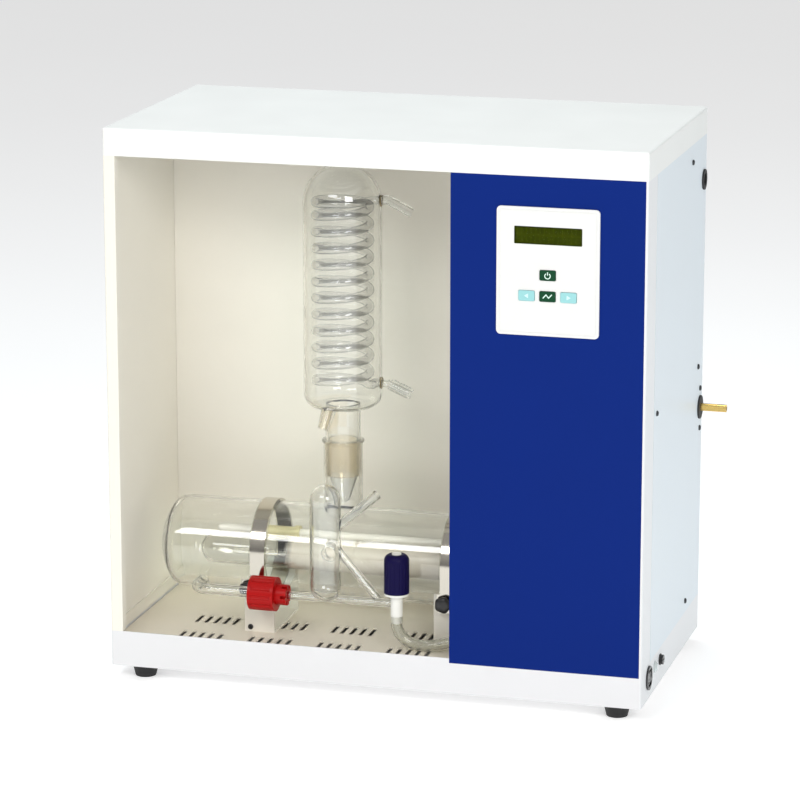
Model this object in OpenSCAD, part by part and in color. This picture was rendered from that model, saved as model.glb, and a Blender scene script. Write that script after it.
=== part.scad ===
// Bench-top glass water still: a sheet-metal case with an open glassware bay on the
// left and a closed service compartment with a control panel on the right.
// Lengths are in millimetres. Modules are drawn in case coordinates: X to the right,
// Y to the back, Z up, from the left front bottom corner of the case. place() then
// moves everything so that the origin is under the middle of the whole still, on
// the surface that its feet stand on.

/* [Case] */
// Width of the case
case_w = 520; // [500:1:660]
// Depth of the case
case_d = 276; // [262:1:340]
// Height of the case without its feet
case_h = 523; // [515:1:640]
// Thickness of the steel sheet
sheet = 1.2; // [0.8:0.1:1.5]
// Radius of the outer folds
fold_r = 2; // [1.6:0.1:3]
// Height of the band of the lid
lid_band = 26; // [20:1:34]
// Height of the band of the base
base_band = 34.5; // [33:0.5:40]
// Height of the bay floor over the bottom of the case
floor_h = 26; // [22:1:28]
// Width of the glassware bay, wall to partition
bay_w = 336; // [325:1:345]
// Depth of the glassware bay
bay_d = 200; // [180:1:215]
// Width of the front flange beside the bay
flange_w = 12; // [8:1:18]
// Depth of the right front corner post
post_d = 39; // [30:1:48]
// Gap between the corner post and the side cover
post_gap = 1.5; // [0.6:0.1:2.5]
// Overlap of the front panel over the base band
panel_drop = 4.5; // [2:0.5:8]

/* [Feet] */
// Diameter of a foot at the case
foot_d = 28; // [20:1:34]
// Diameter of a foot at the ground
foot_tip_d = 20; // [14:1:26]
// Height of a foot
foot_h = 14; // [8:1:24]
// Distance of a foot from the side of the case
foot_inset_x = 27; // [20:1:45]
// Distance of a foot from the front or back of the case
foot_inset_y = 22; // [18:1:45]

/* [Floor vents] */
// Width of a vent slot
slot_w = 4; // [3:0.5:5]
// Length of a vent slot
slot_len = 24; // [16:1:28]
// Distance between slots in a group
slot_pitch = 9.4; // [7:0.1:11]
// Distance between groups of slots
group_pitch = 69; // [60:1:72]
// Slots in a group
slots_per_group = 5; // [3:1:6]

/* [Control panel] */
// Width of the panel moulding
bezel_w = 96; // [90:1:110]
// Height of the panel moulding
bezel_h = 119; // [105:1:130]
// How far the moulding stands proud of the front
bezel_out = 2; // [1:0.5:4]
// Distance of the moulding from the right side of the case
bezel_side = 44; // [30:1:50]
// Distance of the moulding below the lid
bezel_drop = 28; // [20:1:60]
// Width of the display window
window_w = 63.5; // [58:0.5:70]
// Height of the display window
window_h = 16.5; // [14:0.5:20]
// Width of a key
key_w = 15; // [10:0.5:17]
// Height of a key
key_h = 9.5; // [7:0.5:12]
// Distance between neighbouring keys
key_pitch = 19.6; // [18:0.2:24]
// Travel of a key
key_travel = 0.6; // [0.3:0.1:1]
// How far a key stands proud of the moulding
key_out = 0.8; // [0.7:0.1:1.5]
// Gap round a key
key_gap = 0.3; // [0.2:0.05:0.5]

/* [Side fittings] */
// Diameter of the mains switch collar
switch_d = 23; // [18:1:26]
// Diameter of the fuse holder cap and the pilot lamp
fuse_d = 11; // [9:0.5:13]
// Outside diameter of the water inlet nozzle
nozzle_d = 7.5; // [6:0.5:10]
// Bore of the water inlet nozzle
nozzle_bore = 4.5; // [3:0.5:5]
// How far the inlet nozzle stands out of the side
nozzle_out = 27; // [20:1:40]
// Height of the inlet nozzle over the bottom of the case
nozzle_z = 228; // [150:1:300]
// Hole in the hose grommet
grommet_bore = 12; // [8:0.5:14]
// Outside diameter of the hose grommet
grommet_d = 20; // [18:0.5:24]
// Height of the hose grommet over the bottom of the case
grommet_z = 454; // [400:1:475]
// How far the cable gland stands out of the back
gland_out = 20; // [16:1:30]
// Cable hole through the gland
gland_bore = 8; // [6:0.5:10]

/* [Boiler] */
// Outside diameter of the boiler
boiler_d = 90; // [80:1:94]
// Thickness of the boiler glass
boiler_wall = 3; // [2:0.5:4]
// Length of the boiler without its domed end
boiler_len = 327; // [318:1:345]
// Depth of the domed end
dome_len = 23; // [15:1:30]
// Distance of the domed end from the left side of the case
boiler_side = 22; // [10:1:30]
// Height of the boiler axis over the bay floor
boiler_lift = 75.5; // [73:0.5:80]
// Distance of the boiler axis from the front of the case
boiler_y = 100; // [96:1:104]
// Distance of the riser from the left side of the case
riser_x = 204; // [190:1:215]
// Diameter of the heater tube
heater_d = 31; // [24:1:32]
// Diameter of the level sensor rod
rod_d = 9; // [6:0.5:10]

/* [Condenser] */
// Outside diameter of the condenser jacket
jacket_d = 75.5; // [65:0.5:80]
// Length of the straight part of the jacket
jacket_len = 198; // [150:1:200]
// Thickness of the condenser glass
jacket_wall = 2.2; // [1.8:0.1:3]
// Height of the top of the ground joint over the boiler axis
joint_lift = 112.5; // [105:0.5:120]
// Large diameter of the ground cone
joint_d = 34.5; // [29.2:0.1:40]
// Length of the ground cone
joint_len = 35; // [30:1:40]
// Length of the neck between the joint and the jacket
neck_len = 33; // [26:1:36]
// Gap between the coil and the inside of the jacket
coil_gap = 5.05; // [3:0.05:8]
// Diameter of the coil's glass tube
coil_tube = 9; // [6:0.5:10]
// Distance between turns of the coil
coil_pitch = 16; // [12:0.5:18]

/* [Level vessel and valve] */
// Outside diameter of the level vessel
vessel_d = 30; // [24:1:34]
// Length of the level vessel
vessel_len = 115; // [100:1:120]
// Distance of the vessel, valve and drain line from the front of the case
line_y = 35; // [32:1:36]
// Height of the drain line over the bay floor
line_lift = 47; // [46:0.5:50]
// Outside diameter of the link tube
link_d = 8; // [6:0.5:9]
// Outside diameter of the drain tube
drain_d = 10.7; // [9:0.1:12]
// Distance of the needle valve from the left side of the case
valve_x = 275.3; // [270:0.1:280]
// Diameter of the valve knob
valve_knob_d = 24; // [18:0.5:26]
// Height of the valve knob
valve_knob_h = 38; // [30:1:42]
// Outside diameter of the drain hose
hose_d = 11; // [9:0.5:11]

/* [Screw coupling] */
// Diameter of the large end of the coupling nut
nut_d = 33; // [30:0.5:34]
// Length of the large end of the nut
nut_len = 25.5; // [22:0.5:28]
// Diameter of the small end of the nut
nut_tip_d = 20; // [16:0.5:22]
// Length of the small end of the nut
nut_tip_len = 11; // [8:0.5:12]
// Distance of the nut from the left side of the case
nut_x = 131; // [131:0.5:134]
// Diameter of the screw thread on the drain tube
thread_d = 25; // [20:0.5:25]

/* [Boiler clamps] */
// Width of a clamp strap
strap_w = 14.5; // [10:0.5:18]
// Thickness of a clamp strap
strap_t = 0.8; // [0.5:0.1:1.2]
// Thickness of the clamp liner
liner_t = 1.5; // [1:0.1:2]
// Width of a clamp stand
stand_w = 30; // [24:1:31]
// Distance of a stand's front and back inside the clamp's widest line
stand_inset = 6.5; // [4.5:0.5:12]
// Wall of a clamp stand
stand_t = 2; // [1.5:0.5:3]
// Diameter of a clamp knob
clamp_knob_d = 17; // [14:0.5:17]
// Thickness of a clamp knob
clamp_knob_t = 6.8; // [5:0.1:7]
// Height of the clamp knobs over the bay floor
clamp_knob_lift = 45; // [43:0.5:47]

/* [Hidden] */
$fn = 64;

// Clearances
fit = 0.2;          // between fixed pieces that pass through each other
running = 0.05;     // between a turning or sliding piece and its guide
loose = 0.3;        // between a moving piece and what it must not rub on

// Frame
front_y = -bezel_out - key_out;
shift = [-(case_w + nozzle_out) / 2, -(case_d + gland_out + front_y) / 2, foot_h];
wall_z0 = base_band;
wall_z1 = case_h - lid_band;
panel_z0 = base_band - panel_drop;
lap = 6;
inner_x1 = case_w - sheet;
inner_y1 = case_d - sheet;

// Glassware heights and lengths
boiler_z = floor_h + boiler_lift;
boiler_r = boiler_d / 2;
boiler_x0 = boiler_side + dome_len;
boiler_x1 = boiler_x0 + boiler_len;
joint_z = boiler_z + joint_lift;
joint_z0 = joint_z - joint_len;
joint_r = joint_d / 2;
joint_r0 = joint_r - joint_len / 20;
jacket_z = joint_z + neck_len;
jacket_z1 = jacket_z + jacket_len;
jacket_r = jacket_d / 2;
shoulder_r = 12;
neck_r = joint_r - 0.3;
coil_d = jacket_d - 2 * (jacket_wall + coil_gap);
coil_r = (coil_d - coil_tube) / 2;
coil_z0 = jacket_z + shoulder_r + coil_tube / 2;
coil_turns = floor((jacket_z1 - coil_z0) / coil_pitch * 4) / 4;
coil_z1 = coil_z0 + coil_turns * coil_pitch;
nipple_out = 30;

// Drain line
line_z = floor_h + line_lift;
vessel_x = riser_x + 1;
vessel_z = line_z - 3;
port_z = boiler_z + 12;
drain_x = boiler_x0 + 27;
thread_r = thread_d / 2 - 0.3;
thread_x1 = nut_x + nut_len - 6;
seal_t = 2.8;
nut_wall_x = thread_x1 + seal_t + 0.2;
valve_z = line_z + 11;
barrel_d = 11.6;
barrel_z0 = line_z - 12;
outlet_d = 8.2;
outlet_z0 = barrel_z0 - 7;

// Clamps
left_clamp_x = 130.7;
right_clamp_x = bay_w - 16;
clamp_x = [left_clamp_x, right_clamp_x];
left_knob_x = nut_x - clamp_knob_d / 2 - 0.5;
right_knob_x = right_clamp_x - 3;
knob_x = [left_knob_x, right_knob_x];
clamp_r = boiler_r + liner_t;
stand_d = 2 * (clamp_r - stand_inset);
strap_y = boiler_y - clamp_r - strap_t;
clamp_knob_z = floor_h + clamp_knob_lift;
stud_r = 2.5;
boss_r = 6;

// Controls
bezel_x1 = case_w - bezel_side;
bezel_x = bezel_x1 - bezel_w / 2;
bezel_z1 = wall_z1 - bezel_drop;
bezel_z = bezel_z1 - bezel_h / 2;
window_z = bezel_z1 - 26;
key_row_z = bezel_z1 - 82;
power_z = key_row_z + key_pitch;
bezel_lip = 6;
bezel_t = bezel_out + 0.6;
board_y = 9;

// Side fittings
switch_y = 33;
switch_z = 21;
lamp_y = 62;
fuse_y = 86;
fuse_z = 23;
nozzle_y = case_d - 14;
gland_x = bay_w + 94;
gland_z = 60;
gland_r = 8;
screw_r = 1.5;

// Drain hose route, from the valve outlet to the partition
hose_path = [
    [valve_x, line_y, 62], [valve_x, line_y, 58], [valve_x, line_y, 54], [276, 35, 49], [278, 35, 44.5],
    [281, 35.5, 40.5], [285, 36, 37], [290, 37, 34.5], [296, 38, 33], [303, 39, 32.5], [310, 40, 33],
    [317, 41, 34.5], [324, 41.5, 36.5], [331, 42, 38], [338, 42, 38.5], [346, 42, 38.5]
];
hose_exit = [338, 42, 38.5];

// Rectangle from corner to corner with round corners
module round_rect(x0, y0, x1, y1, r) {
    translate([x0 + r, y0]) square([x1 - x0 - 2 * r, y1 - y0]);
    translate([x0, y0 + r]) square([x1 - x0, y1 - y0 - 2 * r]);
    for (x = [x0 + r, x1 - r], y = [y0 + r, y1 - r]) translate([x, y]) circle(r);
}

// Block from corner to corner
module block(a, b) {
    translate(a) cube(b - a);
}

// Round-cornered plate that faces the front, from y0 to y1
module front_plate(x0, z0, x1, z1, r, y0, y1) {
    translate([0, y1, 0]) rotate([90, 0, 0]) linear_extrude(y1 - y0) round_rect(x0, z0, x1, z1, r);
}

// Rods along the three axes, from their start point
module rod_x(p, r, h) {
    translate(p) rotate([0, 90, 0]) cylinder(r = r, h = h);
}

module rod_y(p, r, h) {
    translate(p) rotate([-90, 0, 0]) cylinder(r = r, h = h);
}

module rod_z(p, r, h) {
    translate(p) cylinder(r = r, h = h);
}

// Rod from point a to point b
module rod_between(a, b, r) {
    d = b - a;
    translate(a) rotate([0, acos(d.z / norm(d)), atan2(d.y, d.x)]) cylinder(r = r, h = norm(d));
}

// Plan of the case sheet: a closed strip, moved inwards by inset
module wall_plan(inset) {
    r = max(fold_r - inset, 0.4);
    difference() {
        round_rect(inset, inset, case_w - inset, case_d - inset, r);
        translate([inset + sheet, inset + sheet])
            square([case_w - 2 * inset - 2 * sheet, case_d - 2 * inset - 2 * sheet]);
    }
}

// Part of the case wall inside a plan rectangle, with laps behind both bands
module wall_part(x0, y0, x1, y1, lap_x0, lap_y0, lap_x1, lap_y1) {
    translate([0, 0, wall_z0]) linear_extrude(wall_z1 - wall_z0) intersection() {
        wall_plan(0);
        translate([x0, y0]) square([x1 - x0, y1 - y0]);
    }
    for (z = [wall_z0, wall_z1]) translate([0, 0, z - lap]) linear_extrude(2 * lap) intersection() {
        wall_plan(sheet);
        translate([lap_x0, lap_y0]) square([lap_x1 - lap_x0, lap_y1 - lap_y0]);
    }
}

// Pan-head screw with a cross slot; its head looks along +Z and its shank goes down
module screw(head_r, head_h, r, len) {
    difference() {
        union() {
            cylinder(r = head_r, h = head_h * 0.6);
            translate([0, 0, head_h * 0.6]) cylinder(r1 = head_r, r2 = head_r * 0.7, h = head_h * 0.4);
            translate([0, 0, -len]) cylinder(r = r, h = len + 0.1);
        }
        for (a = [0, 90]) rotate([0, 0, a]) translate([-head_r * 0.5, -0.4, head_h * 0.5])
            cube([head_r, 0.8, head_h]);
    }
}

module place() {
    translate(shift) children();
}

function foot_places() = [for (x = [foot_inset_x, case_w - foot_inset_x],
                               y = [foot_inset_y, case_d - foot_inset_y]) [x, y]];

// ---------- Case ----------

// Base pan: outer band, bottom with vents and a ledge under the bay floor
module base_frame() color("#ebecec") place() difference() {
    union() {
        linear_extrude(base_band) wall_plan(0);
        linear_extrude(sheet) round_rect(0, 0, case_w, case_d, fold_r);
        translate([0, 0, floor_h - 2 * sheet]) linear_extrude(sheet) difference() {
            translate([sheet, sheet]) square([bay_w - sheet - fit, case_d - 2 * sheet]);
            translate([9, 9]) square([bay_w - 9 - 10, case_d - 18]);
        }
    }
    block([bay_w, -1, panel_z0], [case_w - fold_r - 0.3, sheet + 0.01, base_band + 1]);
    for (p = foot_places()) rod_z([p.x, p.y, -1], screw_r + 0.6, 4);
    rod_x([case_w - 4, switch_y, switch_z], 10.1, 8);
    rod_x([case_w - 4, fuse_y, fuse_z], 4.1, 8);
    rod_x([case_w - 4, lamp_y, fuse_z], 4.1, 8);
    for (i = [0:5], s = [-1, 1]) translate([bay_w + 40 + i * 20, case_d / 2 + s * 40 - 25, -1])
        cube([5, 50, 4]);
}

// Bay floor with groups of vent slots
module floor_plate() color("#d8cdb8") place() difference() {
    block([2 * sheet + fit, sheet + fit, floor_h - sheet], [bay_w - fit, case_d - sheet - fit, floor_h]);
    for (g = [0:3], i = [0:slots_per_group - 1], row = [0, 1])
        translate([59 + g * group_pitch + i * slot_pitch, 21 + row * 54, floor_h - sheet - 1])
            linear_extrude(sheet + 2) round_rect(0, 0, slot_w, slot_len, slot_w * 0.45);
}

// Left side with its front and back flanges
module left_wall() color("#efe9dd") place() {
    wall_part(-1, -1, flange_w, case_d + 1, sheet - 0.1, 20, 2 * sheet, case_d - 20);
    block([flange_w - sheet, 0, wall_z0], [flange_w, 9, wall_z1]);
}

// Right front corner post, behind the edge of the front panel
module corner_post() color("#e6ebee") place() difference() {
    union() {
        wall_part(case_w - 20, -1, case_w + 1, post_d, inner_x1 - sheet, 6, inner_x1, switch_y - 12);
        block([inner_x1 - sheet, post_d - 10, wall_z0 + lap + 1], [inner_x1, post_d + 10, wall_z1 - lap - 1]);
        block([case_w - 20, sheet, wall_z0], [inner_x1, 2 * sheet, wall_z1]);
    }
    block([case_w - 30, -1, wall_z0 - 1], [case_w - fold_r - 0.3, sheet, wall_z1 + 1]);
}

// Removable side cover with the holes for the nozzle, the hose grommet and its screws
module side_cover() color("#dfe6ee") place() difference() {
    wall_part(case_w - 12, post_d + post_gap, case_w + 1, case_d + 1,
              inner_x1 - sheet, post_d + 16, inner_x1, case_d - 30);
    rod_x([case_w - 4, nozzle_y, nozzle_z], 8, 8);
    rod_x([case_w - 4, nozzle_y, grommet_z], grommet_d / 2 - 2, 8);
    for (p = side_screws()) rod_x([case_w - 4, p.x, p.y], screw_r + 0.1, 8);
}

function side_screws() = [[post_d + 13, nozzle_z + 43], [case_d - 26, nozzle_z + 43],
                          [case_d - 71, wall_z1 - 17], [case_d - 71, base_band + 12],
                          [nozzle_y, nozzle_z + 19], [nozzle_y, nozzle_z - 21]];

// Back panel with louvre slots behind the service compartment
module back_panel() color("#e4e8ea") place() difference() {
    wall_part(flange_w + 0.3, case_d - 5, case_w - 12.3, case_d + 1,
              40, inner_y1 - sheet, case_w - 40, inner_y1);
    for (i = [0:9], x = [bay_w + 40, bay_w + 110]) translate([x, case_d - 5, 330 + i * 12])
        rotate([-90, 0, 0]) linear_extrude(8) round_rect(-25, -2, 25, 2, 1.9);
    rod_y([gland_x, case_d - 5, gland_z], gland_r + 0.1, 8);
}

// Lid: a shallow tray turned over, with round top edges
module lid() color("#f6f8fa") place() difference() {
    intersection() {
        translate([0, 0, wall_z1]) linear_extrude(lid_band)
            round_rect(0, 0, case_w, case_d, fold_r);
        translate([0, case_d + 1, 0]) rotate([90, 0, 0]) linear_extrude(case_d + 2)
            round_rect(0, wall_z1 - 20, case_w, case_h, fold_r);
        translate([-1, 0, 0]) rotate([90, 0, 90]) linear_extrude(case_w + 2)
            round_rect(0, wall_z1 - 20, case_d, case_h, fold_r);
    }
    block([sheet, sheet, wall_z1 - 1], [inner_x1, inner_y1, case_h - sheet]);
}

// Back wall of the glassware bay
module bay_back() color("#e5dfd2") place() {
    x0 = 2 * sheet + fit;
    z1 = case_h - sheet - fit;
    block([x0, bay_d, floor_h], [bay_w, bay_d + sheet, z1]);
    block([sheet + fit, bay_d, wall_z0 + 8], [x0 + 1, bay_d + sheet, wall_z1 - 8]);
    block([x0, bay_d, floor_h], [x0 + sheet, bay_d + 14, z1]);
    block([x0, bay_d, floor_h], [bay_w, bay_d + 14, floor_h + sheet]);
}

// Wall between the bay and the service compartment, with the holes for the boiler
// and the drain hose
module partition() color("#e8e2d4") place() difference() {
    union() {
        block([bay_w, sheet, sheet], [bay_w + sheet, inner_y1 - sheet - fit, case_h - sheet - fit]);
        block([bay_w, sheet + fit, sheet], [bay_w + 12, inner_y1 - sheet - fit, 2 * sheet]);
    }
    rod_x([bay_w - 2, boiler_y, boiler_z], boiler_r + 1.5, 5);
    rod_x([bay_w - 2, hose_exit.y, hose_exit.z], hose_d / 2 + 1.5, 5);
}

// Coloured front panel of the service compartment
module front_panel() color("#18309a") place() difference() {
    block([bay_w, 0, panel_z0], [case_w - fold_r - 0.4, sheet, wall_z1]);
    front_plate(bezel_x - bezel_w / 2 + bezel_lip, bezel_z - bezel_h / 2 + bezel_lip,
                bezel_x + bezel_w / 2 - bezel_lip, bezel_z + bezel_h / 2 - bezel_lip, 2, -1, 3);
}

// Four tapered rubber feet
module feet() color("#1b1c1e") place() for (p = foot_places()) translate([p.x, p.y, -foot_h])
    difference() {
        union() {
            cylinder(r1 = foot_tip_d / 2, r2 = foot_d / 2 - 1, h = foot_h - 2.5);
            translate([0, 0, foot_h - 2.5]) cylinder(r = foot_d / 2, h = 2.5);
        }
        translate([0, 0, -1]) cylinder(r = 5, h = foot_h - 4);
        translate([0, 0, -1]) cylinder(r = screw_r + 0.6, h = foot_h + 2);
    }

// Screws that hold the feet, sunk in their bores
module foot_screws() color("#b9bcc0") place() for (p = foot_places())
    translate([p.x, p.y, -5 - fit]) rotate([180, 0, 0]) screw(4.2, 2.6, screw_r + 0.4, 9);

// Screws of the side cover
module case_screws() color("#3a3d42") place() for (p = side_screws())
    translate([case_w, p.x, p.y]) rotate([0, 90, 0]) screw(2.6, 1.6, screw_r, 5);

// ---------- Control panel ----------

function key_places() = [[bezel_x - key_pitch, key_row_z], [bezel_x, key_row_z],
                         [bezel_x + key_pitch, key_row_z], [bezel_x, power_z]];

// Moulded surround with the display window and the key holes
module control_bezel() color("#f2f6f8") place() difference() {
    union() {
        front_plate(bezel_x - bezel_w / 2, bezel_z - bezel_h / 2, bezel_x + bezel_w / 2,
                    bezel_z + bezel_h / 2, 4, -bezel_out, 0);
        front_plate(bezel_x - bezel_w / 2 + bezel_lip + fit, bezel_z - bezel_h / 2 + bezel_lip + fit,
                    bezel_x + bezel_w / 2 - bezel_lip - fit, bezel_z + bezel_h / 2 - bezel_lip - fit,
                    2, -1, 6);
    }
    front_plate(bezel_x - bezel_w / 2 + 9, bezel_z - bezel_h / 2 + 9, bezel_x + bezel_w / 2 - 9,
                bezel_z + bezel_h / 2 - 9, 1.5, bezel_t - bezel_out, 7);
    front_plate(bezel_x - window_w / 2, window_z - window_h / 2, bezel_x + window_w / 2,
                window_z + window_h / 2, 1, -bezel_out - 1, 3);
    for (p = key_places()) front_plate(p.x - key_w / 2 - key_gap, p.y - key_h / 2 - key_gap,
                                       p.x + key_w / 2 + key_gap, p.y + key_h / 2 + key_gap,
                                       1.5, -bezel_out - 1, 3);
    difference() {
        front_plate(bezel_x - bezel_w / 2 + 2.5, bezel_z - bezel_h / 2 + 2.5, bezel_x + bezel_w / 2 - 2.5,
                    bezel_z + bezel_h / 2 - 2.5, 2.5, -bezel_out - 1, -bezel_out + 0.4);
        front_plate(bezel_x - bezel_w / 2 + 3.3, bezel_z - bezel_h / 2 + 3.3, bezel_x + bezel_w / 2 - 3.3,
                    bezel_z + bezel_h / 2 - 3.3, 2, -bezel_out - 2, 1);
    }
}

// Clear window over the display, held by a flange behind the moulding
module display_window() color("#cfd8c0", 0.5) place() {
    front_plate(bezel_x - window_w / 2 + 0.1, window_z - window_h / 2 + 0.1, bezel_x + window_w / 2 - 0.1,
                window_z + window_h / 2 - 0.1, 1, -bezel_out + 0.6, bezel_t - bezel_out + 0.05);
    front_plate(bezel_x - window_w / 2 - 2, window_z - window_h / 2 - 2, bezel_x + window_w / 2 + 2,
                window_z + window_h / 2 + 2, 1, bezel_t - bezel_out + 0.05, 1.6);
}

// Two-line display: glass in a metal frame on its own small board
module display_module() color("#363b04") place() {
    front_plate(bezel_x - window_w / 2 - 2, window_z - window_h / 2 - 3, bezel_x + window_w / 2 + 2,
                window_z + window_h / 2 + 3, 0.8, 1.7, 6.4);
    front_plate(bezel_x - 37, window_z - 15, bezel_x + 37, window_z + 15, 1, 6.4, board_y - fit);
}

// Control board with one push switch behind each key
module control_board() color("#1f6b3a") place() {
    front_plate(bezel_x - bezel_w / 2 + 6, bezel_z - bezel_h / 2 + 6, bezel_x + bezel_w / 2 - 6,
                bezel_z + bezel_h / 2 - 6, 1, board_y, board_y + 1.6);
    for (p = key_places()) {
        block([p.x - 3, board_y - 3, p.y - 3], [p.x + 3, board_y, p.y + 3]);
        rod_y([p.x, 4.4 + key_travel, p.y], 1.7, board_y - 4.4 - key_travel - 2);
    }
}

// Spacers that carry the control board and the power board
module board_posts() color("#c9ccd0") place() {
    for (x = [-1, 1], z = [-1, 1])
        rod_y([bezel_x + x * (bezel_w / 2 - 9.5), 6, bezel_z + z * (bezel_h / 2 - 9.5)], 2.5, board_y - 6);
    for (x = [-1, 1], z = [-1, 1])
        rod_y([bay_w + 66 + x * 38, case_d - 14, 190 + z * 60], 3, 14 - sheet);
}

// Key cap with a retaining flange and a stem that reaches the push switch
module key_cap(p) {
    front_plate(p.x - key_w / 2, p.y - key_h / 2, p.x + key_w / 2, p.y + key_h / 2, 1.3, front_y, 1);
    front_plate(p.x - key_w / 2 - 1, p.y - key_h / 2 - 1, p.x + key_w / 2 + 1, p.y + key_h / 2 + 1,
                1, bezel_t - bezel_out + 0.1, 2);
    rod_y([p.x, 1.5, p.y], 2, 2.8);
}

module power_key() color("#0a4a2c") place() key_cap(key_places()[3]);
module left_key() color("#a9e0e0") place() key_cap(key_places()[0]);
module select_key() color("#0a4a2c") place() key_cap(key_places()[1]);
module right_key() color("#a9e0e0") place() key_cap(key_places()[2]);

// ---------- Switch, lamp, fuse and electronics ----------

switch_r = switch_d / 2;
rocker_r = 8;
rocker_x = case_w - 5;
rocker_tilt = 8;

// Round mains switch: collar outside, barrel inside, and the hollow for the rocker
module switch_body() color("#141414") place() difference() {
    union() {
        rod_x([case_w, switch_y, switch_z], switch_r, 1.8);
        rod_x([case_w - 22, switch_y, switch_z], 10, 22.2);
        for (z = [-4, 4]) block([case_w - 28, switch_y - 3, switch_z + z - 0.4],
                                [case_w - 21, switch_y + 3, switch_z + z + 0.4]);
    }
    translate([rocker_x, switch_y - 6.8, switch_z]) rotate([-90, 0, 0])
        cylinder(r = rocker_r + loose, h = 13.6);
    block([rocker_x, switch_y - 6.8, switch_z - rocker_r - loose],
          [case_w + 4, switch_y + 6.8, switch_z + rocker_r + loose]);
}

// Rocker: a drum on the switch pivot with two flat faces that meet in a shallow V
module switch_rocker() color("#20201f") place() difference() {
    translate([rocker_x, switch_y - 6.5, switch_z]) rotate([-90, 0, 0]) cylinder(r = rocker_r, h = 13);
    for (s = [-1, 1]) translate([rocker_x + 6.2, switch_y - 8, switch_z])
        rotate([0, s * 9 - rocker_tilt, 0]) translate([0, 0, s < 0 ? -20 : 0]) cube([12, 16, 20]);
}

// Pilot lamp with a raised lens
module pilot_lamp() color("#b9c4c6") place() {
    rod_x([case_w, lamp_y, fuse_z], fuse_d / 2, 1.2);
    rod_x([case_w - 16, lamp_y, fuse_z], 4, 16.1);
    translate([case_w + 1.1, lamp_y, fuse_z]) rotate([0, 90, 0]) cylinder(r1 = 4.4, r2 = 3, h = 1.8);
}

// Fuse holder with a recess for its cap
module fuse_holder() color("#18191b") place() difference() {
    union() {
        rod_x([case_w, fuse_y, fuse_z], fuse_d / 2, 1.2);
        rod_x([case_w - 26, fuse_y, fuse_z], 4, 26.1);
        block([case_w - 31, fuse_y - 0.5, fuse_z - 2], [case_w - 25.9, fuse_y + 0.5, fuse_z + 2]);
    }
    rod_x([case_w - 22, fuse_y, fuse_z], 3.2, 26);
}

// Bayonet cap of the fuse holder, with a coin slot
module fuse_cap() color("#101012") place() difference() {
    union() {
        rod_x([case_w + 1.3, fuse_y, fuse_z], fuse_d / 2 - 0.8, 2.4);
        rod_x([case_w - 8, fuse_y, fuse_z], 3.2 - running, 9.4);
    }
    block([case_w + 2.7, fuse_y - 4, fuse_z - 0.6], [case_w + 5, fuse_y + 4, fuse_z + 0.6]);
}

// Six-sided body of a gland or a fitting, along +Y from its start point
module hex_y(p, across, len) {
    translate(p) rotate([-90, 0, 0]) cylinder(d = across / cos(30), h = len, $fn = 6);
}

// Cable gland in the back panel: flange nut, seal seat and open end
module cable_gland() color("#24262a") place() difference() {
    union() {
        rod_y([gland_x, case_d - 10, gland_z], gland_r, 12);
        hex_y([gland_x, case_d, gland_z], 22, 7);
        rod_y([gland_x, case_d + 6.9, gland_z], 10, gland_out - 10);
        rod_y([gland_x, case_d + 6.9, gland_z], 7.5, gland_out - 6.9);
    }
    rod_y([gland_x, case_d - 12, gland_z], gland_bore / 2, gland_out + 14);
}

// Lock nut behind the back panel
module gland_nut() color("#2b2d31") place() difference() {
    hex_y([gland_x, inner_y1 - 5.1, gland_z], 22, 5);
    rod_y([gland_x, inner_y1 - 6, gland_z], gland_r + running, 8);
}

// Mains board with its transformer, capacitors and a row of terminals
module power_board() color("#2f7d4a") place() {
    y = case_d - 14;
    front_plate(bay_w + 20, 122, bay_w + 112, 258, 2, y - 1.6, y);
    block([bay_w + 68, y - 28, 135], [bay_w + 106, y - 1.6, 175]);
    block([bay_w + 28, y - 14, 232], [bay_w + 104, y - 1.6, 248]);
    for (i = [0:2]) rod_y([bay_w + 74 + i * 14, y - 22, 205], 6, 21);
}

// Heater relay with its finned heat sink, on the mains board
module heater_relay() color("#8d9095") place() {
    y = case_d - 15.6;
    block([bay_w + 26, y - 8, 140], [bay_w + 62, y, 215]);
    for (i = [0:5]) block([bay_w + 26 + i * 6.8, y - 26, 140], [bay_w + 28 + i * 6.8, y - 7.9, 215]);
}

// ---------- Water inlet and grommets ----------

// Brass hose nozzle, with a six-sided shoulder inside the case
module inlet_nozzle() color("#e0bd6c") place() difference() {
    union() {
        rod_x([case_w - 6, nozzle_y, nozzle_z], nozzle_d / 2 - 0.2, 10);
        rod_x([case_w + 1.6, nozzle_y, nozzle_z], nozzle_d / 2, nozzle_out - 1.6);
        translate([case_w - 10, nozzle_y, nozzle_z]) rotate([0, 90, 0])
            cylinder(d = 14, h = 6, $fn = 6);
    }
    rod_x([case_w - 12, nozzle_y, nozzle_z], nozzle_bore / 2, nozzle_out + 14);
}

// Rubber ring that seals the nozzle hole
module nozzle_ring() color("#17181a") place() difference() {
    union() {
        rod_x([case_w, nozzle_y, nozzle_z], 11.5, 1.6);
        rod_x([case_w - 3.5, nozzle_y, nozzle_z], 7.9, 3.6);
    }
    rod_x([case_w - 5, nozzle_y, nozzle_z], nozzle_d / 2 - 0.1, 8);
}

// Body of the inlet solenoid valve, with its outlet stub
module inlet_valve() color("#c8a860") place() difference() {
    union() {
        block([case_w - 40, nozzle_y - 11, nozzle_z - 12], [case_w - 10, nozzle_y + 11, nozzle_z + 12]);
        rod_z([case_w - 25, nozzle_y, nozzle_z + 11.9], 6, 32);
        rod_x([case_w - 62, nozzle_y, nozzle_z], 5, 22.1);
    }
    rod_x([case_w - 64, nozzle_y, nozzle_z], 3, 26);
}

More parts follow.
